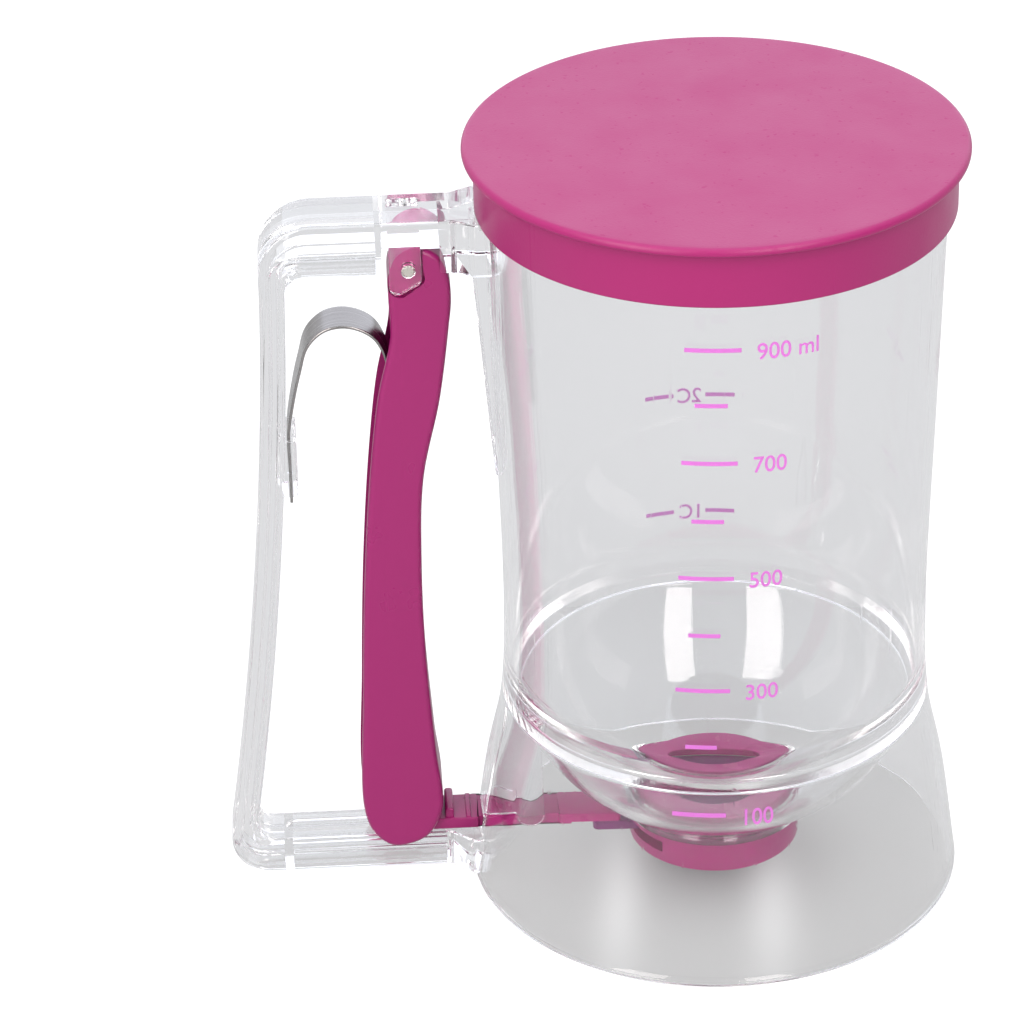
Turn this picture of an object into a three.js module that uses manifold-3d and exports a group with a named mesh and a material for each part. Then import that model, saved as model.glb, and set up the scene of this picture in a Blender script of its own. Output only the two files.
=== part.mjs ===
// Pancake batter dispenser: a clear waisted jug with a round bowl inside its flared skirt, a push-on lid,
// a clear loop handle, and a squeeze lever that pulls a sliding shutter open under the bowl.
//
// Lengths are millimetres and +Z is up. The jug stands on z = 0 and the handle points along -X. Everything
// is drawn round the jug's own axis, and the last group moves it so that the origin is the bottom centre.
// "reach" is a distance from the jug's axis towards the handle, so a point of a side view is (reach, height).

import * as THREE from 'three';
import { mergeVertices } from 'three/addons/utils/BufferGeometryUtils.js';
import Module from 'manifold-3d';

const wasm = await Module();
wasm.setup();

// Clearances
const fitGap = 0.3;
const slideGap = 0.4;
const saddleGap = 0.5;
const rimGap = 0.3;
const overrun = 2;

// Driving dimensions: jug
const jugHeight = 181.7;
const rimRadius = 50.9;
const baseRadius = 56.8;
const jugWall = 1.8;
const shoulderInset = 1.5;
const shoulderHeightShare = 0.692;
const waistInset = 2.7;
const waistRise = 6;
const kneeShares = { outset: 0.14, height: 0.647 };
const flareShares = { outset: 0.512, height: 0.3676 };
const bowlInset = 1.2;
const bowlFloorThickness = 2;
const counterboreDepth = 2.5;

// Driving dimensions: lid
const lidThickness = 2;
const lidSkirtWall = 1.4;
const lidSkirtDepth = 12.7;
const lidBrim = 2.5;
const lidPlugDepth = 5;
const lidPlugWall = 1.4;
const lidEdgeRadius = 0.9;

// Driving dimensions: handle frame
const armDrop = 11.5;
const armDepth = 12.6;
const footArmTop = 11.6;
const footArmUnderside = 2.4;
const gripTopStandOff = 49.1;
const gripFootStandOff = 58;
const gripThickness = 5.6;
const frameHalfWidthTop = 7.6;
const frameHalfWidthFoot = 5.7;
const armBar = 6.3;
const armFlange = 1.8;
const gripOuterFlange = 1.9;
const gripInnerFlange = 1;
const footFlange = 2;
const footDeck = 1.5;
const frameWebHalf = 1;
const cornerRadiusTop = 12;
const cornerRadiusFoot = 9;
const innerCornerRadius = 4;
const padHalfWidth = 10.4;
const padSpread = 5;
const strapHalfWidth = 8.2;
const strapDepth = 57.6;
const strapProud = 3.4;
const strapProudFoot = 0.8;

// Driving dimensions: lever, its pin and its spring
const leverStandOff = 7.1;
const leverDepth = 24;
const leverFootHeight = 9.3;
const leverHeadRise = 5.9;
const leverHalfWidthTop = 7;
const leverHeadHalfWidth = 5.2;
const leverWall = 1.5;
const leverStraddleGap = 0.5;
const leverWebGap = 0.5;
const leverHollowDrop = 12.5;
const leverSqueeze = THREE.MathUtils.degToRad(9.5);
const pinDepthShare = 0.3917;
const pinRise = 0.9;
const pinRadius = 1.5;
const pinSplineDepth = 0.25;
const springHalfWidth = 5;
const springThickness = 0.6;
const springTopDrop = 14.2;
const springHeight = 43.3;
const springGripRoom = 0.75;
const springLeverShare = 0.6208;
const springLeverGap = 0.2;

// Driving dimensions: link bar, shutter and valve
const linkThickness = 2.8;
const linkHalfWidth = 5.2;
const linkNarrowHalfWidth = 4.6;
const linkNarrowLength = 19;
const linkNarrowInset = 1.3;
const linkStepLength = 8;
const linkStepHeight = 0.6;
const linkHookHeight = 3.8;
const linkBumpHeight = 2.4;
const linkHookThickness = 2;
const linkHookHalfWidth = 4.6;
const linkPegRadius = 1.6;
const linkPegDepth = 2.2;
const linkEndMargin = 2;
const linkHousingGap = 2.4;
const valveHoleRadius = 11.8;
const seatCollarWall = 3.6;
const seatCollarDepth = 5;
const seatFlangeLap = 3.5;
const seatFlangeThickness = 1.7;
const bowlGasketThickness = 0.7;
const shutterSealThickness = 0.6;
const shutterSealWidth = 2;
const shutterLap = 2.4;
const shutterThickness = 2.2;
const shutterRingRadius = 7;
const shutterRingWidth = 0.8;
const shutterRingDepth = 0.4;
const tongueRise = 0.5;
const tongueEndWall = 1;
const housingCollarWall = 4;
const housingMargin = 1.3;
const housingWall = 2;
const housingFloor = 2.4;
const housingDepth = 8.1;
const outletLipWall = 1.6;

// Heights and reaches of the handle, which hang from the rim and stand off from the jug
const armTop = jugHeight - armDrop;
const armUnderside = armTop - armDepth;
const gripTopReach = rimRadius + gripTopStandOff;
const gripFootReach = baseRadius + gripFootStandOff;
const leverFrontReach = rimRadius + leverStandOff;
const leverHeadHeight = armUnderside + leverHeadRise;
const leverHalfWidthFoot = frameHalfWidthFoot + leverStraddleGap + leverWall;
const pinReach = leverFrontReach + pinDepthShare * leverDepth;
const pinHeight = armUnderside + pinRise;
const springTopHeight = pinHeight - springTopDrop;
const springFootHeight = springTopHeight - springHeight;

// Heights of the valve, which is stacked from the link bar's underside up to the bowl's floor
const linkUnderside = footArmTop + fitGap;
const linkTop = linkUnderside + linkThickness;
const leverWebFoot = linkTop + leverWebGap;
const tongueBlockTop = linkUnderside + linkStepHeight - fitGap;
const shutterTop = tongueBlockTop - tongueRise;
const shutterUnderside = shutterTop - shutterThickness;
const shutterSealFoot = shutterTop + fitGap / 2;
const shutterSealTop = shutterSealFoot + shutterSealThickness;
const seatFoot = shutterSealTop + fitGap / 2;
const seatFlangeUnderside = seatFoot + seatCollarDepth;
const seatTop = seatFlangeUnderside + seatFlangeThickness;
const bowlFloorTop = seatFlangeUnderside - fitGap - bowlGasketThickness;
const bowlFloorUnderside = bowlFloorTop - bowlFloorThickness;
const housingTop = bowlFloorUnderside - fitGap;
const housingFoot = housingTop - housingDepth;

// Radii of the valve, each from the hole outwards
const seatCollarRadius = valveHoleRadius + seatCollarWall;
const seatFlangeRadius = seatCollarRadius + seatFlangeLap;
const shutterRadius = valveHoleRadius + shutterLap;
const bowlHoleRadius = seatCollarRadius + fitGap;
const counterboreRadius = seatFlangeRadius + fitGap;
const housingRadius = bowlHoleRadius + housingCollarWall;
const bossRadius = housingRadius + housingMargin;

// The bowl is part of a sphere that stands on its counterbore, and the jug's waist is a little above its centre
const waistRadius = rimRadius - waistInset;
const bowlRadius = waistRadius - bowlInset;
const bowlCentreHeight = bowlFloorTop + counterboreDepth + Math.sqrt(bowlRadius ** 2 - counterboreRadius ** 2);
const waistHeight = bowlCentreHeight + waistRise;
const flareHeight = waistHeight * flareShares.height;
const wallAcross = (share) => THREE.MathUtils.lerp(waistRadius, baseRadius, share);

// Round pieces share one facet count, so that one facet lies square against the next
const roundSegments = 48;
const smallSegments = 32;

// Materials
const clearPlastic = new THREE.MeshStandardMaterial({
  color: 0xeef1f4, roughness: 0.06, metalness: 0, transparent: true, opacity: 0.35,
});
const magentaPlastic = new THREE.MeshStandardMaterial({ color: 0xb82d74, roughness: 0.35, metalness: 0 });
const lidPlastic = new THREE.MeshStandardMaterial({ color: 0xc9469a, roughness: 0.45, metalness: 0 });
const springSteel = new THREE.MeshStandardMaterial({ color: 0xb9b4b2, roughness: 0.3, metalness: 1 });
const silicone = new THREE.MeshStandardMaterial({ color: 0xe9e6e2, roughness: 0.7, metalness: 0 });

// Turns a closed geometry into a solid that can be joined and cut
function toSolid(geometry) {
  const bare = geometry.clone();
  bare.deleteAttribute('normal');
  bare.deleteAttribute('uv');
  const welded = mergeVertices(bare);
  return new wasm.Manifold(new wasm.Mesh({
    numProp: 3,
    vertProperties: new Float32Array(welded.attributes.position.array),
    triVerts: new Uint32Array(welded.index.array),
  }));
}

// Turns a solid back into a named mesh
function toMesh(name, solid, material) {
  const data = solid.getMesh();
  const geometry = new THREE.BufferGeometry();
  geometry.setAttribute('position', new THREE.BufferAttribute(new Float32Array(data.vertProperties), data.numProp));
  geometry.setIndex(new THREE.BufferAttribute(new Uint32Array(data.triVerts), 1));
  geometry.computeVertexNormals();
  const mesh = new THREE.Mesh(geometry, material);
  mesh.name = name;
  return mesh;
}

// A ring or cup turned round the jug's axis from a profile of [radius, height] points. The profile runs
// counter-clockwise, and closes on itself or on the axis.
function turned(profile, segments = roundSegments) {
  const points = profile.map(([radius, height]) => new THREE.Vector2(radius, height));
  const onAxis = points[0].x === 0 && points[points.length - 1].x === 0;
  if (!onAxis) points.push(points[0].clone());
  return toSolid(new THREE.LatheGeometry(points, segments).rotateX(Math.PI / 2));
}

// A full round disc between two heights
function disc(radius, low, high, segments = roundSegments) {
  return turned([[0, low], [radius, low], [radius, high], [0, high]], segments);
}

// A flat ring between two heights
function ring(innerRadius, outerRadius, low, high, segments = roundSegments) {
  return turned([[innerRadius, low], [outerRadius, low], [outerRadius, high], [innerRadius, high]], segments);
}

// A slab whose side view is a list of [reach, height] points, from one distance off the middle to another
function sideSlab(points, from, to) {
  const shape = new THREE.Shape(points.map(([reach, height]) => new THREE.Vector2(reach, height)));
  const geometry = new THREE.ExtrudeGeometry(shape, { depth: to - from, bevelEnabled: false });
  const axes = new THREE.Matrix4().makeBasis(
    new THREE.Vector3(-1, 0, 0), new THREE.Vector3(0, 0, 1), new THREE.Vector3(0, 1, 0));
  geometry.applyMatrix4(axes);
  geometry.translate(0, from, 0);
  return toSolid(geometry);
}

// The same slab centred on the middle plane
function middleSlab(points, halfWidth) {
  return sideSlab(points, -halfWidth, halfWidth);
}

// A block whose plan is a list of [reach, offset] points, between two heights
function planBlock(points, low, high) {
  const shape = new THREE.Shape(points.map(([reach, offset]) => new THREE.Vector2(reach, offset)));
  const geometry = new THREE.ExtrudeGeometry(shape, { depth: high - low, bevelEnabled: false });
  geometry.rotateZ(Math.PI);
  geometry.translate(0, 0, low);
  return toSolid(geometry);
}

// A box given by its limits in reach, in offset from the middle plane and in height
function block([reachLow, reachHigh], [offsetLow, offsetHigh], [low, high]) {
  const outline = [[reachLow, low], [reachHigh, low], [reachHigh, high], [reachLow, high]];
  return sideSlab(outline, offsetLow, offsetHigh);
}

// A round bar across the handle
function crossBar(reach, height, radius, halfWidth, segments = smallSegments) {
  const geometry = new THREE.CylinderGeometry(radius, radius, halfWidth + halfWidth, segments);
  geometry.translate(-reach, 0, height);
  return toSolid(geometry);
}

// The space between two planes that lean together from top to foot
function taperedSpace(halfTop, top, halfFoot, foot, reachLow, reachHigh) {
  const shape = new THREE.Shape([
    new THREE.Vector2(-halfFoot, foot), new THREE.Vector2(halfFoot, foot),
    new THREE.Vector2(halfTop, top), new THREE.Vector2(-halfTop, top),
  ]);
  const geometry = new THREE.ExtrudeGeometry(shape, { depth: reachHigh - reachLow, bevelEnabled: false });
  const axes = new THREE.Matrix4().makeBasis(
    new THREE.Vector3(0, 1, 0), new THREE.Vector3(0, 0, 1), new THREE.Vector3(1, 0, 0));
  geometry.applyMatrix4(axes);
  geometry.translate(-reachHigh, 0, 0);
  return toSolid(geometry);
}

// Swings a solid about the lever's pin: a positive angle carries its foot towards the grip
function swung(solid, angle) {
  const turn = new THREE.Matrix4().makeTranslation(-pinReach, 0, pinHeight)
    .multiply(new THREE.Matrix4().makeRotationY(angle))
    .multiply(new THREE.Matrix4().makeTranslation(pinReach, 0, -pinHeight));
  return solid.transform(turn.elements);
}

// An outline of [x, y, radius] corners with each corner rounded by its own arc
function rounded(corners, arcSteps = 6) {
  const outline = [];
  corners.forEach(([x, y, radius = 0], index) => {
    const corner = new THREE.Vector2(x, y);
    if (radius === 0) {
      outline.push([x, y]);
      return;
    }
    const before = new THREE.Vector2(...corners[(index + corners.length - 1) % corners.length]);
    const after = new THREE.Vector2(...corners[(index + 1) % corners.length]);
    const back = before.sub(corner).normalize();
    const ahead = after.sub(corner).normalize();
    const half = Math.acos(THREE.MathUtils.clamp(back.dot(ahead), -1, 1)) / 2;
    const towards = back.clone().add(ahead).normalize();
    const centre = corner.clone().addScaledVector(towards, radius / Math.sin(half));
    const start = corner.clone().addScaledVector(back, radius / Math.tan(half)).sub(centre);
    const end = corner.clone().addScaledVector(ahead, radius / Math.tan(half)).sub(centre);
    const sweep = Math.atan2(start.cross(end), start.dot(end));
    for (let step = 0; step <= arcSteps; step += 1) {
      const spoke = start.clone().rotateAround(new THREE.Vector2(), sweep * step / arcSteps);
      outline.push([centre.x + spoke.x, centre.y + spoke.y]);
    }
  });
  return outline;
}

// A smooth line through [x, y] points
function smooth(points, closed = false) {
  return new THREE.CatmullRomCurve3(points.map(([x, y]) => new THREE.Vector3(x, y, 0)), closed, 'centripetal');
}

function sampled(curve, steps) {
  return curve.getPoints(steps).map((point) => [point.x, point.y]);
}

// Reads the x of a line of rising points at a height
function acrossAt(line, height) {
  let above = 1;
  while (above < line.length - 1 && line[above][1] < height) above += 1;
  const [lowX, lowY] = line[above - 1];
  const [highX, highY] = line[above];
  return THREE.MathUtils.mapLinear(height, lowY, highY, lowX, highX);
}

// Jug wall: one smooth line from the base over the waist to the rim
const wallSteps = 18;
const wallLine = sampled(smooth([
  [baseRadius, 0], [wallAcross(flareShares.outset), flareHeight],
  [wallAcross(kneeShares.outset), waistHeight * kneeShares.height], [waistRadius, waistHeight],
  [rimRadius - shoulderInset, jugHeight * shoulderHeightShare], [rimRadius, jugHeight],
]), wallSteps);
const outerWallAt = (height) => acrossAt(wallLine, THREE.MathUtils.clamp(height, 0, jugHeight));
const innerWallAt = (height) => outerWallAt(height) - jugWall;

// Radius of a sphere about the bowl's centre at a height
const sphereRadiusAt = (radius, height) => Math.sqrt(radius ** 2 - (bowlCentreHeight - height) ** 2);

// Height where a sphere about the bowl's centre meets the inside of the wall
function meetingHeight(radius) {
  let low = bowlFloorTop;
  let high = bowlCentreHeight;
  for (let step = 0; step < 40; step += 1) {
    const middle = (low + high) / 2;
    if (sphereRadiusAt(radius, middle) > innerWallAt(middle)) high = middle;
    else low = middle;
  }
  return low;
}

const bowlUndersideRadius = bowlRadius + jugWall;
const bowlRimHeight = meetingHeight(bowlRadius);
const crotchHeight = meetingHeight(bowlUndersideRadius);

// Points of the bowl's sphere from one radius to another
function bowlArc(radius, fromAcross, toAcross, steps) {
  const angleOf = (across) => Math.asin(across / radius);
  const arc = [];
  for (let step = 0; step <= steps; step += 1) {
    const angle = THREE.MathUtils.lerp(angleOf(fromAcross), angleOf(toAcross), step / steps);
    arc.push([radius * Math.sin(angle), bowlCentreHeight - radius * Math.cos(angle)]);
  }
  return arc;
}

// Points of the inside of the wall between two heights
function innerWallPoints(fromHeight, toHeight, steps) {
  const points = [];
  for (let step = 0; step <= steps; step += 1) {
    const height = THREE.MathUtils.lerp(fromHeight, toHeight, step / steps);
    points.push([innerWallAt(height), height]);
  }
  return points;
}

const bowlSteps = 9;
const innerWallSteps = 12;
const skirtSteps = 7;

// The window in the skirt that the link bar goes through, and the two ribs that steady it inside
const skirtWindowHalfWidth = linkHalfWidth + slideGap + slideGap;
const skirtWindowLow = linkUnderside - slideGap;
const skirtWindowHigh = linkTop + slideGap + slideGap;
const ribThickness = 1.4;
const ribLength = 16.8;
const ribInnerReach = baseRadius - ribLength;
const ribOffset = linkHalfWidth + slideGap;
const ribRise = 1.7;
const ribFoot = linkTop + ribRise;
const ribNubRadius = 3.2;
const ribNubDrop = 3.6;

// Jug body: wall, skirt, bowl and the two ribs that steady the link bar, moulded as one clear piece
function jugBody() {
  const bowlMeet = sphereRadiusAt(bowlRadius, bowlRimHeight);
  const crotchMeet = sphereRadiusAt(bowlUndersideRadius, crotchHeight);
  const shell = turned([
    ...wallLine,
    ...innerWallPoints(jugHeight, bowlRimHeight, innerWallSteps),
    ...bowlArc(bowlRadius, bowlMeet, counterboreRadius, bowlSteps).slice(1),
    [counterboreRadius, bowlFloorTop], [bowlHoleRadius, bowlFloorTop],
    [bowlHoleRadius, bowlFloorUnderside], [bossRadius, bowlFloorUnderside],
    ...bowlArc(bowlUndersideRadius, bossRadius, crotchMeet, bowlSteps),
    ...innerWallPoints(crotchHeight, 0, skirtSteps).slice(1),
  ]);
  const middleOfBowlWall = bowlRadius + jugWall / 2;
  const underBowl = turned([
    [baseRadius - jugWall / 2, 0],
    ...innerWallPoints(flareHeight, crotchHeight, skirtSteps).map(([across, height]) => [
      across + jugWall / 2, height,
    ]),
    ...bowlArc(middleOfBowlWall, sphereRadiusAt(middleOfBowlWall, crotchHeight), bossRadius, bowlSteps),
    [bossRadius, 0],
  ]);
  const nubReach = ribInnerReach + ribNubRadius;
  const ribOutline = rounded([
    [ribInnerReach, bowlCentreHeight], [ribInnerReach, ribFoot - ribNubDrop, ribNubRadius],
    [nubReach + ribNubRadius, ribFoot - ribNubDrop, ribNubRadius], [nubReach + ribNubRadius, ribFoot],
    [baseRadius, ribFoot], [baseRadius, bowlCentreHeight],
  ]);
  let body = shell;
  for (const side of [1, -1]) {
    const near = side * ribOffset;
    const far = side * (ribOffset + ribThickness);
    body = body.add(sideSlab(ribOutline, Math.min(near, far), Math.max(near, far)).intersect(underBowl));
  }
  const window = block(
    [ribInnerReach + ribNubRadius, baseRadius + overrun],
    [-skirtWindowHalfWidth, skirtWindowHalfWidth], [skirtWindowLow, skirtWindowHigh]);
  const wallOnly = ring(innerWallAt(flareHeight) - overrun, baseRadius + overrun, 0, flareHeight);
  return body.subtract(window.intersect(wallOnly));
}

// Lid: a flat disc with a skirt that slips over the rim and a plug ring that guides it inside
const lidUnderside = jugHeight + rimGap;
const lidTop = lidUnderside + lidThickness;
const lidSkirtInner = rimRadius + rimGap;
const lidSkirtOuter = lidSkirtInner + lidSkirtWall;
const lidRadius = lidSkirtOuter + lidBrim;
const lidSkirtFoot = lidUnderside - lidSkirtDepth;
const lidPlugOuter = innerWallAt(lidUnderside - lidPlugDepth) - rimGap;

function lid() {
  return turned([
    ...rounded([
      [0, lidUnderside], [lidPlugOuter - lidPlugWall, lidUnderside],
      [lidPlugOuter - lidPlugWall, lidUnderside - lidPlugDepth],
      [lidPlugOuter, lidUnderside - lidPlugDepth], [lidPlugOuter, lidUnderside],
      [lidSkirtInner, lidUnderside], [lidSkirtInner, lidSkirtFoot], [lidSkirtOuter, lidSkirtFoot],
      [lidSkirtOuter, lidUnderside], [lidRadius, lidUnderside, lidEdgeRadius],
      [lidRadius, lidTop, lidEdgeRadius], [0, lidTop],
    ], 3),
  ]);
}

// The handle's outline: a loop open towards the jug, moved inwards by an inset of its own on each side
const gripBendShares = [[-0.03, 0.3], [0.4, 0.7]];
const gripSteps = 10;
const noInsets = { bar: 0, gripOuter: 0, foot: 0, deck: 0, gripInner: 0, armInner: 0, corner: 0 };
const pocketCorner = 3;
const pocketInsets = {
  bar: armBar, gripOuter: gripOuterFlange, foot: footFlange,
  deck: footDeck, gripInner: gripInnerFlange, armInner: armFlange, corner: pocketCorner,
};

function gripLine(reachOffset, from, to) {
  const bend = gripBendShares.map(([reachShare, heightShare]) => new THREE.Vector2(
    THREE.MathUtils.lerp(gripTopReach, gripFootReach, reachShare) + reachOffset,
    THREE.MathUtils.lerp(armTop, footArmUnderside, heightShare)));
  const curve = new THREE.CubicBezierCurve(
    new THREE.Vector2(gripTopReach + reachOffset, armTop), ...bend,
    new THREE.Vector2(gripFootReach + reachOffset, footArmUnderside));
  const line = curve.getPoints(gripSteps).map((point) => [point.x, point.y]).reverse();
  const inside = line.filter(([, height]) => height > from && height < to);
  return [[acrossAt(line, from), from], ...inside, [acrossAt(line, to), to]];
}

function frameOutline(insets, rootReach) {
  const top = armTop - insets.bar;
  const foot = footArmUnderside + insets.foot;
  const deck = footArmTop - insets.deck;
  const ceiling = armUnderside + insets.armInner;
  const outer = gripLine(-insets.gripOuter, foot, top).reverse();
  const inner = gripLine(insets.gripInner - gripThickness, deck, ceiling);
  const clearOf = (line, height, room) => line.filter(([, z]) => Math.abs(z - height) > room + overrun);
  const topRadius = cornerRadiusTop - insets.corner;
  const footRadius = cornerRadiusFoot - insets.corner;
  const innerRadius = innerCornerRadius - insets.gripInner;
  return rounded([
    [rootReach, top],
    [...outer[0], topRadius],
    ...clearOf(clearOf(outer.slice(1, -1), top, topRadius), foot, footRadius),
    [...outer[outer.length - 1], footRadius],
    [rootReach, foot],
    [rootReach, deck],
    [...inner[0], innerRadius],
    ...clearOf(clearOf(inner.slice(1, -1), deck, innerRadius), ceiling, innerRadius),
    [...inner[inner.length - 1], innerRadius],
    [rootReach, ceiling],
  ]);
}

// Ears that hang from the top arm and carry the lever's pin
const earInnerOffset = leverHeadHalfWidth + slideGap;
const earThickness = frameHalfWidthTop - earInnerOffset;
const earAhead = 2.8;
const earBehind = 4.2;
const earRoot = 1;
const earDropFront = 3.1;
const earDropBack = 7.1;
const earCornerRadius = 1.6;
const headSlotAhead = 9;
const headSlotBehind = 5.8;
const headSlotWall = 1.2;
const headSlotCeiling = armTop - armBar;

function earOutline(margin) {
  const front = pinReach - earAhead - margin;
  const back = pinReach + earBehind + margin;
  const top = headSlotCeiling + earRoot + margin;
  return rounded([
    [front, top],
    [front, pinHeight - earDropFront - margin, earCornerRadius + margin],
    [back, pinHeight - earDropBack - margin, earCornerRadius + margin],
    [back, top],
  ]);
}

// Clip on the grip's inner face that holds the spring's back leg
const clipRise = 2;
const clipHeight = 14;
const clipWall = 1;
const clipFoot = springFootHeight + clipRise;
const clipTop = clipFoot + clipHeight;
const gripInnerLine = gripLine(-gripThickness, footArmTop, armUnderside);
const springGripReach = acrossAt(gripInnerLine, clipTop) - springGripRoom;
const clipReach = springGripReach - springThickness / 2 - fitGap - clipWall;

// Handle frame: a loop with a pocket in each side, a head slot across the top arm that parts the pockets there,
// a shallow groove along the foot arm's deck, and feet that spread where they are bonded to the jug
const pocketRootGap = 3.2;
const footRibInset = 15.8;
const footRibThickness = 2;
const grooveHalfWidth = 2.6;
const grooveDepth = 0.7;
const grooveInset = 14.4;

function handleFrame() {
  const wide = frameHalfWidthTop + overrun;
  const rootReach = waistRadius - overrun;
  const loop = middleSlab(frameOutline(noInsets, rootReach), wide);
  const sides = taperedSpace(
    frameHalfWidthTop, armUnderside, frameHalfWidthFoot, footArmTop, 0, gripFootReach + overrun)
    .add(block([0, gripFootReach], [-frameHalfWidthTop, frameHalfWidthTop], [armUnderside, armTop]))
    .add(block([0, gripFootReach + overrun], [-frameHalfWidthFoot, frameHalfWidthFoot], [0, footArmTop]));
  let frame = loop.intersect(sides);

  const headSlotFront = pinReach - headSlotAhead;
  const headSlotBack = pinReach + headSlotBehind;
  const pocketOutline = frameOutline(pocketInsets, rimRadius + pocketRootGap);
  const footRibReach = gripFootReach - footRibInset;
  const footRib = block([footRibReach, footRibReach + footRibThickness], [-wide, wide], [0, footArmTop]);
  const footRoot = block([0, baseRadius + pocketRootGap], [-wide, wide], [0, footArmTop]);
  const slotWalls = block(
    [headSlotFront - headSlotWall, headSlotBack + headSlotWall], [-wide, wide], [armUnderside, armTop]);
  for (const side of [1, -1]) {
    const near = side * frameWebHalf;
    const far = side * wide;
    const pocket = sideSlab(pocketOutline, Math.min(near, far), Math.max(near, far));
    frame = frame.subtract(pocket.subtract(footRib).subtract(footRoot).subtract(slotWalls));
  }

  frame = frame.subtract(block(
    [headSlotFront, headSlotBack], [-wide, wide], [armUnderside - overrun, headSlotCeiling]));
  const grooveEnd = gripFootReach - grooveInset - grooveHalfWidth;
  const groove = block(
    [baseRadius, grooveEnd], [-grooveHalfWidth, grooveHalfWidth],
    [footArmTop - grooveDepth, footArmTop + overrun])
    .add(disc(grooveHalfWidth, footArmTop - grooveDepth, footArmTop + overrun, smallSegments)
      .translate([-grooveEnd, 0, 0]));
  frame = frame.subtract(groove);
  for (const side of [1, -1]) {
    const near = side * earInnerOffset;
    const far = side * (earInnerOffset + earThickness);
    frame = frame.add(sideSlab(earOutline(0), Math.min(near, far), Math.max(near, far)));
  }
  frame = frame.subtract(crossBar(pinReach, pinHeight, pinRadius + fitGap, wide));

  const clip = block(
    [clipReach, acrossAt(gripInnerLine, clipFoot) + gripInnerFlange / 2],
    [-springHalfWidth - fitGap - clipWall, springHalfWidth + fitGap + clipWall], [clipFoot, clipTop]);
  const legHalf = springThickness / 2 + fitGap;
  const clipSlot = block(
    [springGripReach - legHalf, springGripReach + legHalf],
    [-springHalfWidth - fitGap, springHalfWidth + fitGap], [clipFoot - overrun, clipTop + overrun]);
  frame = frame.add(clip).subtract(clipSlot);

  const topPadReach = rimRadius + padSpread;
  const topPad = planBlock([
    [rootReach, -padHalfWidth], [rimRadius + overrun, -padHalfWidth], [topPadReach + overrun, -frameHalfWidthTop],
    [topPadReach + overrun, frameHalfWidthTop], [rimRadius + overrun, padHalfWidth], [rootReach, padHalfWidth],
  ], armUnderside, armTop);
  const footPadReach = baseRadius + padSpread;
  const footPadRoot = baseRadius - padSpread - overrun;
  const footPad = planBlock([
    [footPadRoot, -padHalfWidth], [baseRadius, -padHalfWidth], [footPadReach, -frameHalfWidthFoot],
    [footPadReach, frameHalfWidthFoot], [baseRadius, padHalfWidth], [footPadRoot, padHalfWidth],
  ], footArmUnderside, footArmTop);
  const strapFootHeight = armUnderside - strapDepth;
  const strap = middleSlab([
    [rootReach, strapFootHeight],
    [outerWallAt(strapFootHeight) + strapProudFoot, strapFootHeight],
    [outerWallAt(armUnderside) + strapProud, armUnderside],
    [rootReach, armUnderside],
  ], strapHalfWidth);
  const jugRoom = turned([
    [0, -overrun], [baseRadius + fitGap, -overrun],
    ...wallLine.map(([across, height]) => [across + fitGap, height]),
    [rimRadius + fitGap, armTop + jugHeight], [0, armTop + jugHeight],
  ]);
  const lidRoom = disc(lidSkirtOuter + fitGap, lidSkirtFoot - fitGap, lidTop);
  return frame.add(topPad).add(footPad).add(strap).subtract(jugRoom).subtract(lidRoom);
}

// Lever: a U-channel open towards the grip. Its side view follows shares of its depth and height.
const leverShares = [
  [0.375, 0.017], [0.242, 0.062], [0.288, 0.166], [0.35, 0.328], [0.362, 0.49], [0.317, 0.63],
  [0.142, 0.759], [0.042, 0.871], [0.012, 0.918], [0.034, 0.958], [0.117, 0.986], [0.308, 1],
  [0.492, 0.987], [0.572, 0.957], [0.583, 0.925], [0.579, 0.86], [0.712, 0.764], [0.817, 0.634],
  [0.908, 0.458], [0.967, 0.264], [1, 0.065], [0.912, 0.023], [0.75, 0], [0.54, 0.002],
];
const leverHeight = leverHeadHeight - leverFootHeight;
const leverFrontCount = 10;
const leverSteps = 66;
const leverPoint = ([depthShare, heightShare]) => [
  leverFrontReach + depthShare * leverDepth, leverFootHeight + heightShare * leverHeight,
];
const leverOutline = sampled(smooth(leverShares.map(leverPoint), true), leverSteps).slice(0, -1);
const leverFrontLine = sampled(smooth(leverShares.slice(1, leverFrontCount).map(leverPoint)), leverSteps / 2);

function lever() {
  const wide = leverHalfWidthFoot + overrun;
  const backReach = leverFrontReach + leverDepth + overrun;
  const sides = taperedSpace(
    leverHalfWidthTop, leverHeadHeight + overrun, leverHalfWidthFoot, 0, 0, backReach);
  let body = middleSlab(leverOutline, wide).intersect(sides);

  const leverHollowTop = pinHeight - leverHollowDrop;
  const webBack = leverFrontLine
    .filter(([, height]) => height < leverHollowTop)
    .map(([reach, height]) => [reach + leverWall, height]);
  const hollowOutline = [
    [backReach, 0], [backReach, leverHollowTop], [webBack[webBack.length - 1][0], leverHollowTop],
    ...[...webBack].reverse(), [webBack[0][0], 0],
  ];
  const insides = taperedSpace(
    leverHalfWidthTop - leverWall, leverHeadHeight + overrun, leverHalfWidthFoot - leverWall, 0, 0, backReach);
  body = body.subtract(middleSlab(hollowOutline, wide).intersect(insides));
  const underWeb = block([0, backReach], [-wide, wide], [0, leverWebFoot]);
  body = body.subtract(underWeb.intersect(insides));

  const swingSteps = 4;
  for (let step = 0; step <= swingSteps; step += 1) {
    const back = -leverSqueeze * step / swingSteps;
    for (const side of [1, -1]) {
      const near = side * leverHeadHalfWidth;
      const far = side * wide;
      const limits = [Math.min(near, far), Math.max(near, far)];
      body = body.subtract(swung(sideSlab(earOutline(slideGap), ...limits), back));
    }
  }
  return body.subtract(crossBar(pinReach, pinHeight, pinRadius + fitGap, wide));
}

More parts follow.
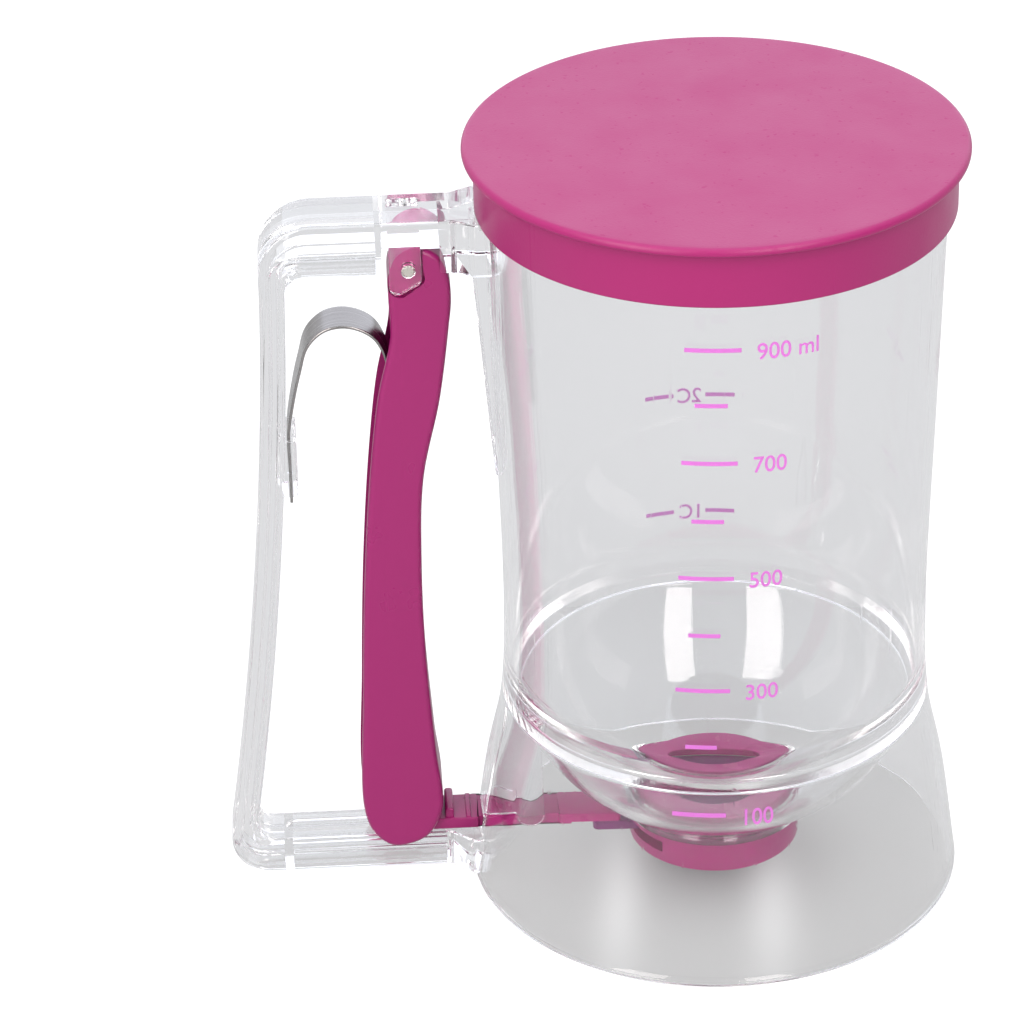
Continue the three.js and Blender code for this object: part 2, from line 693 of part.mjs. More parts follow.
// Lever pin: steel, plain where the lever turns and splined at both ends to bite in the ears
function leverPin() {
  const teeth = 10;
  const star = [];
  for (let tooth = 0; tooth < teeth + teeth; tooth += 1) {
    const angle = Math.PI * tooth / teeth;
    const radius = tooth % 2 === 0 ? pinRadius : pinRadius - pinSplineDepth;
    star.push([pinReach + radius * Math.cos(angle), pinHeight + radius * Math.sin(angle)]);
  }
  const end = earInnerOffset + earThickness;
  let pin = crossBar(pinReach, pinHeight, pinRadius - pinSplineDepth, end);
  for (const side of [1, -1]) {
    const near = side * earInnerOffset;
    const far = side * end;
    pin = pin.add(sideSlab(star, Math.min(near, far), Math.max(near, far)));
  }
  return pin;
}

// Leaf spring: a hairpin of flat steel strip between the grip and the inside of the lever
const springShares = [
  [1, 0], [1, 0.2], [1, 0.375], [0.924, 0.61], [0.852, 0.764], [0.789, 0.878], [0.7, 0.942],
  [0.578, 0.986], [0.408, 1], [0.242, 0.977], [0.112, 0.928], [0.031, 0.855], [-0.009, 0.778],
];
const springSteps = 52;

function leafSpring() {
  const springLeverReach = leverFrontReach + springLeverShare * leverDepth;
  const webBackReach = acrossAt(leverFrontLine, springFootHeight) + leverWall;
  const springEndReach = webBackReach + springLeverGap + springThickness / 2;
  const places = springShares.map(([reachShare, heightShare]) => [
    THREE.MathUtils.lerp(springLeverReach, springGripReach, reachShare),
    THREE.MathUtils.lerp(springFootHeight, springTopHeight, heightShare),
  ]);
  places.push([springEndReach, springFootHeight]);
  const curve = smooth(places);
  const left = [];
  const right = [];
  for (let step = 0; step <= springSteps; step += 1) {
    const point = curve.getPointAt(step / springSteps);
    const along = curve.getTangentAt(step / springSteps);
    const half = springThickness / 2;
    left.push([point.x - along.y * half, point.y + along.x * half]);
    right.push([point.x + along.y * half, point.y - along.x * half]);
  }
  return middleSlab([...left, ...right.reverse()], springHalfWidth);
}

// Link bar: a flat pull bar whose saddle grips the lower edge of the lever's web
const webFrontReach = acrossAt(leverFrontLine, leverWebFoot + linkBumpHeight);
const saddleFront = webFrontReach - saddleGap;
const saddleBack = webFrontReach + leverWall + saddleGap;
const linkOuterReach = saddleBack + linkHookThickness;
const linkInnerReach = housingRadius + linkHousingGap;
const linkPegReach = linkInnerReach + linkEndMargin + linkPegRadius;
const linkStepReach = linkPegReach + linkStepLength;
const linkNarrowEnd = baseRadius - linkNarrowInset;
const linkNarrowStart = linkNarrowEnd - linkNarrowLength;

function linkBar() {
  const across = (half) => [-half, half];
  const thickness = [linkUnderside, linkTop];
  let bar = block([linkNarrowEnd, linkOuterReach], across(linkHalfWidth), thickness);
  bar = bar.add(block([linkNarrowStart, linkNarrowEnd], across(linkNarrowHalfWidth), thickness));
  bar = bar.add(block([linkInnerReach, linkNarrowStart], across(linkHalfWidth), thickness));
  bar = bar.subtract(block(
    [linkInnerReach - overrun, linkStepReach], across(linkHalfWidth + overrun),
    [linkUnderside - overrun, linkUnderside + linkStepHeight]));
  bar = bar.add(block([saddleBack, linkOuterReach], across(linkHookHalfWidth), [linkTop, linkTop + linkHookHeight]));
  bar = bar.add(block(
    [saddleFront - linkHookThickness, saddleFront], across(linkHookHalfWidth), [linkTop, linkTop + linkBumpHeight]));
  const peg = disc(linkPegRadius, linkUnderside - linkPegDepth, linkTop, smallSegments / 2)
    .translate([-linkPegReach, 0, 0]);
  return bar.add(peg);
}

// The shutter's channel across the housing
const channelFloor = shutterUnderside - fitGap;
const channelTop = shutterTop + fitGap;
const channelHalfWidth = shutterRadius + slideGap;

// Valve seat: drops into the bowl's hole, its flange in the counterbore and its collar in the housing
function valveSeat() {
  const chamfer = seatFlangeThickness / 3;
  return turned([
    [valveHoleRadius, seatFoot], [seatCollarRadius, seatFoot], [seatCollarRadius, seatFlangeUnderside],
    [seatFlangeRadius, seatFlangeUnderside], [seatFlangeRadius, seatTop - chamfer],
    [seatFlangeRadius - chamfer, seatTop], [valveHoleRadius + chamfer, seatTop],
    [valveHoleRadius, seatTop - chamfer],
  ]);
}

function bowlGasket() {
  const low = bowlFloorTop + fitGap / 2;
  return ring(bowlHoleRadius + fitGap, counterboreRadius - fitGap, low, low + bowlGasketThickness);
}

function shutterSeal() {
  return ring(valveHoleRadius, valveHoleRadius + shutterSealWidth, shutterSealFoot, shutterSealTop);
}

// Shutter: a round plate that covers the hole, with a tongue that the link bar's peg drops into
const tongueHalfWidth = linkNarrowHalfWidth;
const tongueBlockReach = housingRadius + slideGap + fitGap;
const tongueOuterReach = linkPegReach + linkPegRadius + fitGap + tongueEndWall;

function shutter() {
  const plate = disc(shutterRadius, shutterUnderside, shutterTop);
  const tongue = block(
    [shutterRadius / 2, tongueOuterReach], [-tongueHalfWidth, tongueHalfWidth], [shutterUnderside, shutterTop]);
  const tongueBlock = block(
    [tongueBlockReach, tongueOuterReach], [-tongueHalfWidth, tongueHalfWidth], [shutterUnderside, tongueBlockTop]);
  const groove = ring(
    shutterRingRadius, shutterRingRadius + shutterRingWidth, shutterTop - shutterRingDepth, shutterTop + overrun);
  const pegHole = disc(linkPegRadius + fitGap, shutterUnderside - overrun, linkTop, smallSegments / 2)
    .translate([-linkPegReach, 0, 0]);
  return plate.add(tongue).add(tongueBlock).subtract(groove).subtract(pegHole);
}

// Valve housing: a cup screwed on the seat's collar under the bowl, with the shutter's channel across it
function valveHousing() {
  const boreRadius = seatCollarRadius + fitGap;
  const lipFoot = (housingFoot + channelFloor - housingFloor) / 2;
  const cup = turned([
    [valveHoleRadius, lipFoot], [valveHoleRadius + outletLipWall, lipFoot],
    [valveHoleRadius + outletLipWall, channelFloor - housingFloor],
    [housingRadius - housingWall, channelFloor - housingFloor], [housingRadius - housingWall, housingFoot],
    [housingRadius, housingFoot], [housingRadius, housingTop], [boreRadius, housingTop],
    [boreRadius, channelTop], [valveHoleRadius, channelTop],
  ]);
  const pocket = disc(channelHalfWidth, channelFloor, channelTop);
  const boreRoom = disc(boreRadius, channelFloor, housingTop + overrun);
  const channel = block(
    [0, housingRadius + overrun], [-channelHalfWidth, channelHalfWidth], [channelFloor, channelTop]);
  return cup.subtract(pocket).subtract(boreRoom).subtract(channel);
}

// The assembly, moved so that the origin is the bottom centre of the box round it
const reachOfGrip = Math.max(...frameOutline(noInsets, waistRadius).map(([reach]) => reach));
const dispenser = new THREE.Group();
dispenser.name = 'batter_dispenser';
dispenser.position.x = (reachOfGrip - baseRadius) / 2;

dispenser.add(
  toMesh('jug_body', jugBody(), clearPlastic),
  toMesh('handle_frame', handleFrame(), clearPlastic),
  toMesh('lid', lid(), lidPlastic),
  toMesh('squeeze_lever', lever(), magentaPlastic),
  toMesh('lever_pin', leverPin(), springSteel),
  toMesh('leaf_spring', leafSpring(), springSteel),
  toMesh('link_bar', linkBar(), magentaPlastic),
  toMesh('valve_shutter', shutter(), magentaPlastic),
  toMesh('valve_seat', valveSeat(), magentaPlastic),
  toMesh('bowl_gasket', bowlGasket(), silicone),
  toMesh('shutter_seal', shutterSeal(), silicone),
  toMesh('valve_housing', valveHousing(), magentaPlastic),
);

export default dispenser;
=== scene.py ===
import math

import bmesh
import bpy
import numpy as np
from mathutils import Matrix, Vector


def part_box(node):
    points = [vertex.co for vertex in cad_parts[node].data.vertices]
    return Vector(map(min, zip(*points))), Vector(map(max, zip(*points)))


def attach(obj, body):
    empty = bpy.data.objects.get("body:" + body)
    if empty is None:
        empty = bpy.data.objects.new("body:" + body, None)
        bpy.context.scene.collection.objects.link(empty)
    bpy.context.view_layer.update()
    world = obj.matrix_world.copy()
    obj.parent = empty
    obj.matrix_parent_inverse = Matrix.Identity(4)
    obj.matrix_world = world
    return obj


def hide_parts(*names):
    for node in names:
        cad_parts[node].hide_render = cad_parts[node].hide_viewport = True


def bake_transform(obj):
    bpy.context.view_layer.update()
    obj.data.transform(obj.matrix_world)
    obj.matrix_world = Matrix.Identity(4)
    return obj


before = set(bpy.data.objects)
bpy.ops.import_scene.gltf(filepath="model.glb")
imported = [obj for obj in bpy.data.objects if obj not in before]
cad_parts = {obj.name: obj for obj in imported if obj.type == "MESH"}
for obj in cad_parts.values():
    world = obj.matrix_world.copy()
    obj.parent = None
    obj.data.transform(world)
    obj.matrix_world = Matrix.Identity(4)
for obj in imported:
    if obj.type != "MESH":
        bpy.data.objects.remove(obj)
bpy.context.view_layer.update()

# Pancake batter dispenser, put together in the order it is assembled. Sizes are millimetres. A point is
# (reach, across, height): reach runs from the jug's axis towards the handle, across is zero in the
# handle's middle plane, and height is from the table.


# --- Studio ---
# A long lens about a metre away looks down on the dispenser. Two tall softboxes stand left and right of
# it, a wide one hangs overhead, one stands behind, and everything rests on a white sweep.
low_corner, high_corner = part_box("jug_body")
jug_axis = (low_corner.x + high_corner.x) / 2
studio_turn = math.radians(-5.5)
studio = Matrix.Translation((jug_axis, 0, 0)) @ Matrix.Rotation(studio_turn, 4, "Z")

camera_distance = 0.9872
camera_aim = 0.0908
camera_elevation = math.radians(29.67)
camera_yaw = math.radians(-2.66)
camera_roll = math.radians(0.18)

ahead = Vector((0, math.cos(camera_elevation), -math.sin(camera_elevation)))
right = Vector((1, 0, 0))
above = right.cross(ahead)
place = Vector((0, 0, camera_aim)) - ahead * camera_distance
ahead, right = (
    math.cos(camera_yaw) * ahead + math.sin(camera_yaw) * right,
    math.cos(camera_yaw) * right - math.sin(camera_yaw) * ahead,
)
right, above = (
    math.cos(camera_roll) * right + math.sin(camera_roll) * above,
    math.cos(camera_roll) * above - math.sin(camera_roll) * right,
)
stand = Matrix((right, above, -ahead)).transposed().to_4x4()
stand.translation = place
lens = bpy.data.cameras.new("camera")
lens.lens = 153.21
lens.sensor_width = 36.0
lens.clip_end = 20.0
camera = bpy.data.objects.new("camera", lens)
camera.matrix_world = studio @ stand
bpy.context.scene.collection.objects.link(camera)
bpy.context.scene.camera = camera


def softbox(name, foot, head, width, power, colour):
    """A rectangular light whose long side runs from foot to head and whose face looks at the dispenser."""
    foot, head = Vector(foot), Vector(head)
    middle = (foot + head) / 2
    upright = (head - foot).normalized()
    face = (middle - Vector((0, 0, 0.09))).normalized()
    side = upright.cross(face).normalized()
    face = side.cross(upright)
    turn = Matrix((side, upright, face)).transposed().to_4x4()
    turn.translation = middle
    lamp = bpy.data.lights.new(name, "AREA")
    lamp.shape = "RECTANGLE"
    lamp.size = width
    lamp.size_y = (head - foot).length
    lamp.energy = power
    lamp.color = colour
    holder = bpy.data.objects.new(name, lamp)
    holder.matrix_world = studio @ turn
    bpy.context.scene.collection.objects.link(holder)


softbox("strip_right", (0.34, -0.93, 0.2), (0.28, -0.33, 0.85), 0.25, 3.9, (1.0, 0.94, 0.92))
softbox("strip_left", (-0.45, -0.89, 0.15), (-0.386, -0.323, 0.806), 0.32, 4.8, (1.0, 0.94, 0.92))
softbox("overhead", (0.0, -0.25, 1.25), (0.0, 0.75, 1.25), 1.1, 4.0, (0.86, 0.90, 1.0))
softbox("back", (0.0, 1.35, 0.1), (0.0, 1.15, 1.1), 1.6, 4.0, (0.80, 0.85, 1.0))


def plug(tree, target, inputs):
    """Gives a node its inputs, by name or number: another node's output is linked, and anything else is a
    constant."""
    for socket, source in inputs.items():
        if isinstance(source, bpy.types.NodeSocket):
            tree.links.new(source, target.inputs[socket])
        else:
            target.inputs[socket].default_value = source


def add_node(tree, kind, inputs=None, **settings):
    """Adds a node to a tree, with its settings and its inputs."""
    added = tree.nodes.new(kind)
    for key, value in settings.items():
        setattr(added, key, value)
    plug(tree, added, inputs or {})
    return added


def fresh_material(name):
    """A new material with its node tree, its shader and a function that adds a node to it."""
    material = bpy.data.materials.new(name)
    material.use_nodes = True
    tree = material.node_tree

    def node(kind, inputs=None, **settings):
        return add_node(tree, kind, inputs, **settings)

    return material, tree, tree.nodes["Principled BSDF"], node


sky = bpy.data.worlds.new("studio_walls")
sky.use_nodes = True
room = sky.node_tree
facing = add_node(room, "ShaderNodeVectorMath", {
    0: add_node(room, "ShaderNodeTexCoord").outputs["Generated"], 1: (-0.08, 0.78, 0.62)},
    operation="DOT_PRODUCT")
fade = add_node(room, "ShaderNodeMapRange", {
    "Value": facing.outputs["Value"], "From Min": -0.85, "From Max": 0.45, "To Min": 0.12, "To Max": 0.95},
    interpolation_type="SMOOTHSTEP")
plug(room, room.nodes["Background"], {"Strength": fade.outputs["Result"], "Color": (0.96, 0.97, 1.0, 1)})
bpy.context.scene.world = sky
bpy.context.scene.view_settings.view_transform = "Standard"

# Light crosses many clear faces where the bowl meets the wall, so its path may be long.
light_bounces = 160
bpy.context.scene.cycles.max_bounces = light_bounces
bpy.context.scene.cycles.glossy_bounces = light_bounces
bpy.context.scene.cycles.transmission_bounces = light_bounces

sweep_half = 4
sweep_height = -0.0002
sweep = bpy.data.meshes.new("floor")
sweep.from_pydata(
    [(x * sweep_half, y * sweep_half, sweep_height) for x, y in ((-1, -1), (1, -1), (1, 1), (-1, 1))],
    [], [(0, 1, 2, 3)])
floor = bpy.data.objects.new("floor", sweep)
bpy.context.scene.collection.objects.link(floor)
paper, paper_tree, paper_shader, paper_node = fresh_material("white_sweep")


def paper_math(operation, *values):
    """A math node of the sweep's material, whose inputs are numbers or the outputs of other nodes."""
    return paper_node("ShaderNodeMath", dict(enumerate(values)), operation=operation).outputs["Value"]


def soft_patch(distance, middle, spread):
    """Bell curve over a distance: 1 at its middle, and 1/e one spread away from it."""
    share = paper_math("DIVIDE", paper_math("SUBTRACT", distance, middle), spread)
    return paper_math("EXPONENT", paper_math("MULTIPLY", paper_math("MULTIPLY", share, share), -1.0))


# Painted light on the sweep: two soft emissive streaks stand in for the light that the clear walls gather
# from the two tall softboxes, and a painted shadow dims the glow round the valve.
paper_place = paper_node("ShaderNodeSeparateXYZ", {
    "Vector": paper_node("ShaderNodeTexCoord").outputs["Object"]}).outputs
paper_x = paper_math("SUBTRACT", paper_place["X"], jug_axis)
paper_y = paper_place["Y"]
paper_right = paper_math(
    "MULTIPLY_ADD", paper_x, math.cos(studio_turn), paper_math("MULTIPLY", paper_y, math.sin(studio_turn)))
paper_away = paper_math(
    "MULTIPLY_ADD", paper_x, -math.sin(studio_turn), paper_math("MULTIPLY", paper_y, math.cos(studio_turn)))
paper_radius = paper_math("SQRT", paper_math(
    "MULTIPLY_ADD", paper_x, paper_x, paper_math("MULTIPLY", paper_y, paper_y)))
even_glow = 0.48
painted_streak_glow = 0.22
painted_valve_shadow = 0.36
camera_glow = 0.45
painted_streaks = paper_math(
    "ADD", soft_patch(paper_right, -0.0215, 0.0055), soft_patch(paper_right, 0.0135, 0.0060))
painted_streaks = paper_math("MULTIPLY", painted_streaks, soft_patch(paper_away, -0.022, 0.030))
glow_and_painted_light = paper_math("MULTIPLY_ADD", painted_streaks, painted_streak_glow, even_glow)
# Painted shadow: the sweep glows less round the foot of the valve.
glow_and_painted_light = paper_math("MULTIPLY_ADD", soft_patch(paper_radius, 0.0, 0.022), -painted_valve_shadow, glow_and_painted_light)
paper_seen = paper_node("ShaderNodeLightPath").outputs["Is Camera Ray"]
plug(paper_tree, paper_shader, {
    "Base Color": (0.20, 0.201, 0.204, 1), "Roughness": 0.9, "Specular IOR Level": 0.1,
    "Emission Color": (1.0, 1.0, 1.0, 1),
    "Emission Strength": paper_math("MULTIPLY_ADD", paper_seen, camera_glow, glow_and_painted_light)})
sweep.materials.append(paper)


# --- Jug body ---
# One injection moulding in clear styrene plastic: the waisted wall, the flared skirt it stands on, and the
# round bowl that hangs inside. Two ribs and a small window in the skirt guide the link bar.
base_radius = 56.8
rim_radius = 50.9
jug_height = 181.7
wall_corners = [
    [base_radius, 0], [53.29, 24.998], [49.404, 43.998], [48.2, 68.002], [49.4, 125.736],
    [rim_radius, jug_height]]
wall_thickness = 1.8
bowl_radius = 47.0
bowl_floor = 16.6
bowl_floor_underside = 14.6
bowl_hole = 15.7
counterbore = 19.2
counterbore_depth = 2.5
boss_radius = 21.0
rim_round = 0.7
rim_blend = 0.9
foot_inside = 55.0
foot_round = 0.5
crotch_round = 0.7
rib_reach = 40.0
rib_across = 5.6
rib_thickness = 1.4
rib_foot = 16.4
rib_nub = 3.2
rib_nub_drop = 3.6
window_half = 6.0
window_low = 11.5
window_high = 15.5
window_round = 1.2
turn_steps = 224


def smooth_line(corners, steps, closed=False):
    """Centripetal Catmull-Rom line: each stretch is the cubic through its two corners whose end slopes come
    from the neighbouring corners, each weighted by the square root of the distance between them."""
    corners = np.asarray(corners, float)
    if closed:
        ring = np.vstack([corners[-1:], corners, corners[:2]])
    else:
        ring = np.vstack([2 * corners[0] - corners[1], corners, 2 * corners[-1] - corners[-2]])
    a, b, c, d = ring[:-3], ring[1:-2], ring[2:-1], ring[3:]
    gaps = [np.sqrt(np.linalg.norm(q - p, axis=1))[:, None] for p, q in ((a, b), (b, c), (c, d))]
    slope_b = ((b - a) / gaps[0] - (c - a) / (gaps[0] + gaps[1]) + (c - b) / gaps[1]) * gaps[1]
    slope_c = ((c - b) / gaps[1] - (d - b) / (gaps[1] + gaps[2]) + (d - c) / gaps[2]) * gaps[1]
    t = (np.arange(steps) / steps)[None, :, None]
    b, c, slope_b, slope_c = b[:, None], c[:, None], slope_b[:, None], slope_c[:, None]
    line = b + slope_b * t + (3 * (c - b) - 2 * slope_b - slope_c) * t**2
    line = line + (2 * (b - c) + slope_b + slope_c) * t**3
    line = line.reshape(-1, corners.shape[1])
    return line if closed else np.vstack([line, corners[-1:]])


def rounded(corners, arc_steps=8):
    """Outline whose corners (x, y, radius) are each replaced by the arc that touches both of its sides."""
    corners = [(c[0], c[1], c[2] if len(c) > 2 else 0.0) for c in corners]
    outline = []
    for index, (x, y, radius) in enumerate(corners):
        corner = np.array([x, y])
        if radius == 0:
            outline.append(corner[None])
            continue
        back = np.array(corners[index - 1][:2]) - corner
        ahead_of = np.array(corners[(index + 1) % len(corners)][:2]) - corner
        back, ahead_of = back / np.linalg.norm(back), ahead_of / np.linalg.norm(ahead_of)
        half = math.acos(np.clip(back @ ahead_of, -1, 1)) / 2
        towards = (back + ahead_of) / np.linalg.norm(back + ahead_of)
        centre = corner + towards * radius / math.sin(half)
        start = corner + back * radius / math.tan(half) - centre
        end = corner + ahead_of * radius / math.tan(half) - centre
        sweep_angle = math.atan2(start[0] * end[1] - start[1] * end[0], start @ end)
        angles = np.linspace(0, sweep_angle, arc_steps + 1)
        turned_x = start[0] * np.cos(angles) - start[1] * np.sin(angles)
        turned_y = start[0] * np.sin(angles) + start[1] * np.cos(angles)
        outline.append(centre + np.stack([turned_x, turned_y], axis=1))
    return np.vstack(outline)


def rectangle(left, right, low, high, rounds=(0, 0, 0, 0), arc_steps=5):
    """Rectangle whose corners, from the low left one on past the low right one, have their own radii."""
    corners = ((left, low), (right, low), (right, high), (left, high))
    return rounded([[*corner, radius] for corner, radius in zip(corners, rounds)], arc_steps)


def placed(points):
    """Turns (reach, across, height) in millimetres into the frame's metres."""
    return np.asarray(points, float) * (-0.001, 0.001, 0.001) + (jug_axis, 0, 0)


def solid(name, points, faces):
    """Makes a closed mesh from points in millimetres, welds its seams and poles, and points its faces
    outwards."""
    mesh = bpy.data.meshes.new(name)
    mesh.from_pydata(placed(points).tolist(), [], [tuple(face) for face in faces])
    work = bmesh.new()
    work.from_mesh(mesh)
    bmesh.ops.remove_doubles(work, verts=work.verts, dist=1e-7)
    bmesh.ops.recalc_face_normals(work, faces=work.faces)
    work.to_mesh(mesh)
    work.free()
    obj = bpy.data.objects.new(name, mesh)
    bpy.context.scene.collection.objects.link(obj)
    return obj


def grid_faces(rows, columns):
    """Four-sided faces between the rows of a grid whose columns and rows both close on themselves."""
    row, column = np.meshgrid(np.arange(rows), np.arange(columns), indexing="ij")
    below, beside = (row + 1) % rows, (column + 1) % columns
    corners = [
        row * columns + column, row * columns + beside, below * columns + beside, below * columns + column]
    return np.stack(corners, axis=-1).reshape(-1, 4)


def stack_faces(rows, columns):
    """Faces of a stack of closed rings: four-sided ones between the rings and one over each end."""
    faces = grid_faces(rows, columns)[: (rows - 1) * columns].tolist()
    return faces + [list(range(columns)), list(range((rows - 1) * columns, rows * columns))]


def turned(name, profile, steps=turn_steps):
    """Solid turned about the jug's axis: each profile point (radius, height) goes once round a circle."""
    profile = np.asarray(profile, float)
    angle = np.linspace(0, 2 * np.pi, steps, endpoint=False)
    radius, height = profile[:, :1], profile[:, 1:]
    points = np.stack([
        radius * np.cos(angle), radius * np.sin(angle),
        np.broadcast_to(height, (len(profile), steps))], axis=-1)
    faces = grid_faces(len(profile), steps)
    on_axis = profile[:, 0] < 1e-6
    if on_axis.any():
        both = on_axis & np.roll(on_axis, -1)
        faces = faces[~np.repeat(both, steps)]
    return solid(name, points.reshape(-1, 3), faces)


def inset(outline, depth):
    """Moves each point of a closed outline towards its inside by depth, along the bisector of its two
    sides."""
    side_before = outline - np.roll(outline, 1, axis=0)
    side_after = np.roll(outline, -1, axis=0) - outline
    area = np.sum(outline[:, 0] * np.roll(outline[:, 1], -1) - np.roll(outline[:, 0], -1) * outline[:, 1])
    turn = 1.0 if area > 0 else -1.0
    unit_before = side_before / np.linalg.norm(side_before, axis=1, keepdims=True)
    unit_after = side_after / np.linalg.norm(side_after, axis=1, keepdims=True)
    normal_before = np.stack([-unit_before[:, 1], unit_before[:, 0]], axis=1) * turn
    normal_after = np.stack([-unit_after[:, 1], unit_after[:, 0]], axis=1) * turn
    bisector = normal_before + normal_after
    bisector = bisector / np.maximum(np.sum(bisector * normal_before, axis=1, keepdims=True), 0.35)
    return outline + bisector * depth


def plate(name, outline, low, high, edge=(0.4, 0.4), steps=5, flat=False):
    """Plate with a side view (reach, height): its rim is straight, and at each face it rolls in by a quarter
    circle of its own edge radius. low and high are offsets across, or functions of (reach, height).
    With flat=True the outline is a plan (reach, across) and low and high are heights."""
    outline = np.asarray(outline, float)
    outline = outline[np.linalg.norm(outline - np.roll(outline, 1, axis=0), axis=1) > 1e-5]
    low = low if callable(low) else (lambda x, y, value=low: np.full(len(x), float(value)))
    high = high if callable(high) else (lambda x, y, value=high: np.full(len(x), float(value)))
    rings = []
    for limit, radius, sign in ((low, edge[0], 1), (high, edge[1], -1)):
        angles = np.linspace(np.pi / 2, 0, steps + 1) if radius > 0 else np.array([0.0])
        group = []
        for angle in angles:
            moved = inset(outline, radius * (1 - math.cos(angle))) if radius > 0 else outline
            offset = limit(moved[:, 0], moved[:, 1]) + sign * radius * (1 - math.sin(angle))
            group.append((moved, offset))
        rings.extend(group if sign > 0 else group[::-1])
    if flat:
        points = [np.stack([ring[:, 0], ring[:, 1], offset], axis=1) for ring, offset in rings]
    else:
        points = [np.stack([ring[:, 0], offset, ring[:, 1]], axis=1) for ring, offset in rings]
    return solid(name, np.vstack(points), stack_faces(len(rings), len(outline)))


def combined(base, other, operation):
    """Combines two solids by a boolean operation. The result stays in base, and other is used up."""
    step = base.modifiers.new("step", "BOOLEAN")
    step.operation = operation
    step.object = other
    step.solver = "MANIFOLD"
    result = bpy.data.meshes.new_from_object(base.evaluated_get(bpy.context.evaluated_depsgraph_get()))
    base.modifiers.clear()
    base.data = result
    bpy.data.objects.remove(other)


def join(base, other):
    """Makes one solid of base and other."""
    combined(base, other, "UNION")


def cut(base, other):
    """Cuts other out of base."""
    combined(base, other, "DIFFERENCE")


def finished(obj, body, slot, material, *replaced, angle=32, weighted=False):
    """Gives a piece its material, its body and the CAD nodes it stands for. Its shading is smooth up to an
    edge angle, and with an angle of zero it stays flat."""
    work = bmesh.new()
    work.from_mesh(obj.data)
    bmesh.ops.remove_doubles(work, verts=work.verts, dist=2e-7)
    bmesh.ops.dissolve_degenerate(work, edges=work.edges, dist=1e-7)
    work.to_mesh(obj.data)
    work.free()
    obj.data.materials.clear()
    obj.data.materials.append(material)
    obj.data.polygons.foreach_set("use_smooth", np.full(len(obj.data.polygons), angle > 0))
    if angle > 0:
        obj.data.set_sharp_from_angle(angle=math.radians(angle))
    if weighted:
        even = obj.modifiers.new("even_faces", "WEIGHTED_NORMAL")
        even.keep_sharp = True
        even.weight = 60
    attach(obj, body)
    if replaced:
        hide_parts(*replaced)


def node_group(name, inputs, outputs):
    """Makes a node group that takes a vector and numbers and gives numbers. Returns the group, what comes
    into it, and the node where it ends."""
    group = bpy.data.node_groups.new(name, "ShaderNodeTree")
    group.interface.new_socket("Vector", in_out="INPUT", socket_type="NodeSocketVector")
    for sockets, way in ((inputs, "INPUT"), (outputs, "OUTPUT")):
        for socket in sockets:
            group.interface.new_socket(socket, in_out=way, socket_type="NodeSocketFloat")
    return group, group.nodes.new("NodeGroupInput").outputs, group.nodes.new("NodeGroupOutput")


# Handling marks: fine straight scratches in two directions, and soft cloudy patches where hands and cloths
# rub.
marks, marks_in, marks_end = node_group(
    "handling_marks", ("Patch Scale", "Scratch Scale"), ("Patches", "Scratches"))
patches = add_node(marks, "ShaderNodeTexNoise", {
    "Vector": marks_in["Vector"], "Scale": marks_in["Patch Scale"], "Detail": 3.0, "Roughness": 0.6})
scratch_masks = []
for lean in (0.5, -0.9):
    turned_space = add_node(marks, "ShaderNodeMapping", {
        "Vector": marks_in["Vector"], "Rotation": (lean, lean * 0.6, lean), "Scale": (1.0, 1.0, 0.02)})
    lines = add_node(marks, "ShaderNodeTexNoise", {
        "Vector": turned_space.outputs["Vector"], "Scale": marks_in["Scratch Scale"], "Detail": 1.0})
    thin = add_node(marks, "ShaderNodeMapRange", {
        "Value": lines.outputs["Fac"], "From Min": 0.70, "From Max": 0.78})
    scratch_masks.append(thin.outputs["Result"])
both_ways = add_node(marks, "ShaderNodeMath", dict(enumerate(scratch_masks)), operation="MAXIMUM")
plug(marks, marks_end, {"Patches": patches.outputs["Fac"], "Scratches": both_ways.outputs["Value"]})


def clear_plastic(name, ripple_scale, ripple_height, tint, bend):
    """Clear styrene: polished, with the slow ripple of the mould in its surface and a few fine scratches."""
    material, tree, shader, node = fresh_material(name)
    place_of = node("ShaderNodeTexCoord").outputs["Object"]
    worn = node("ShaderNodeGroup", {
        "Vector": place_of, "Patch Scale": 38.0, "Scratch Scale": 900.0}, node_tree=marks)
    ripple = node("ShaderNodeTexNoise", {
        "Vector": place_of, "Scale": ripple_scale, "Detail": 1.5, "Roughness": 0.4})
    swell = node("ShaderNodeBump", {
        "Height": ripple.outputs["Fac"], "Strength": 1.0, "Distance": ripple_height})
    scored = node("ShaderNodeBump", {
        "Height": worn.outputs["Scratches"], "Strength": 0.25, "Distance": 0.00002,
        "Normal": swell.outputs["Normal"]}, invert=True)
    haze = node("ShaderNodeMapRange", {
        "Value": worn.outputs["Patches"], "From Min": 0.35, "From Max": 0.75, "To Min": 0.0, "To Max": 0.045})
    dull = node("ShaderNodeMath", {
        0: worn.outputs["Scratches"], 1: 0.12, 2: haze.outputs["Result"]}, operation="MULTIPLY_ADD")
    plug(tree, shader, {
        "Base Color": tint, "Roughness": dull.outputs["Value"], "Normal": scored.outputs["Normal"],
        "Transmission Weight": 1.0, "IOR": bend})
    return material


jug_plastic = clear_plastic("jug_clear_styrene", 26.0, 0.00022, (0.965, 0.967, 0.97, 1), 1.54)

wall_line = smooth_line(wall_corners, 18)
inner_wall = wall_line - (wall_thickness, 0)
bowl_centre = bowl_floor + counterbore_depth + math.sqrt(bowl_radius**2 - counterbore**2)
bowl_back = bowl_radius + wall_thickness


def wall_at(line, height):
    """Radius of a wall line at a height."""
    return np.interp(height, line[:, 1], line[:, 0])


def sphere_at(radius, height):
    """Radius, about the jug's axis, of a sphere round the bowl's centre at a height."""
    return np.sqrt(np.maximum(radius**2 - (bowl_centre - np.asarray(height)) ** 2, 0))


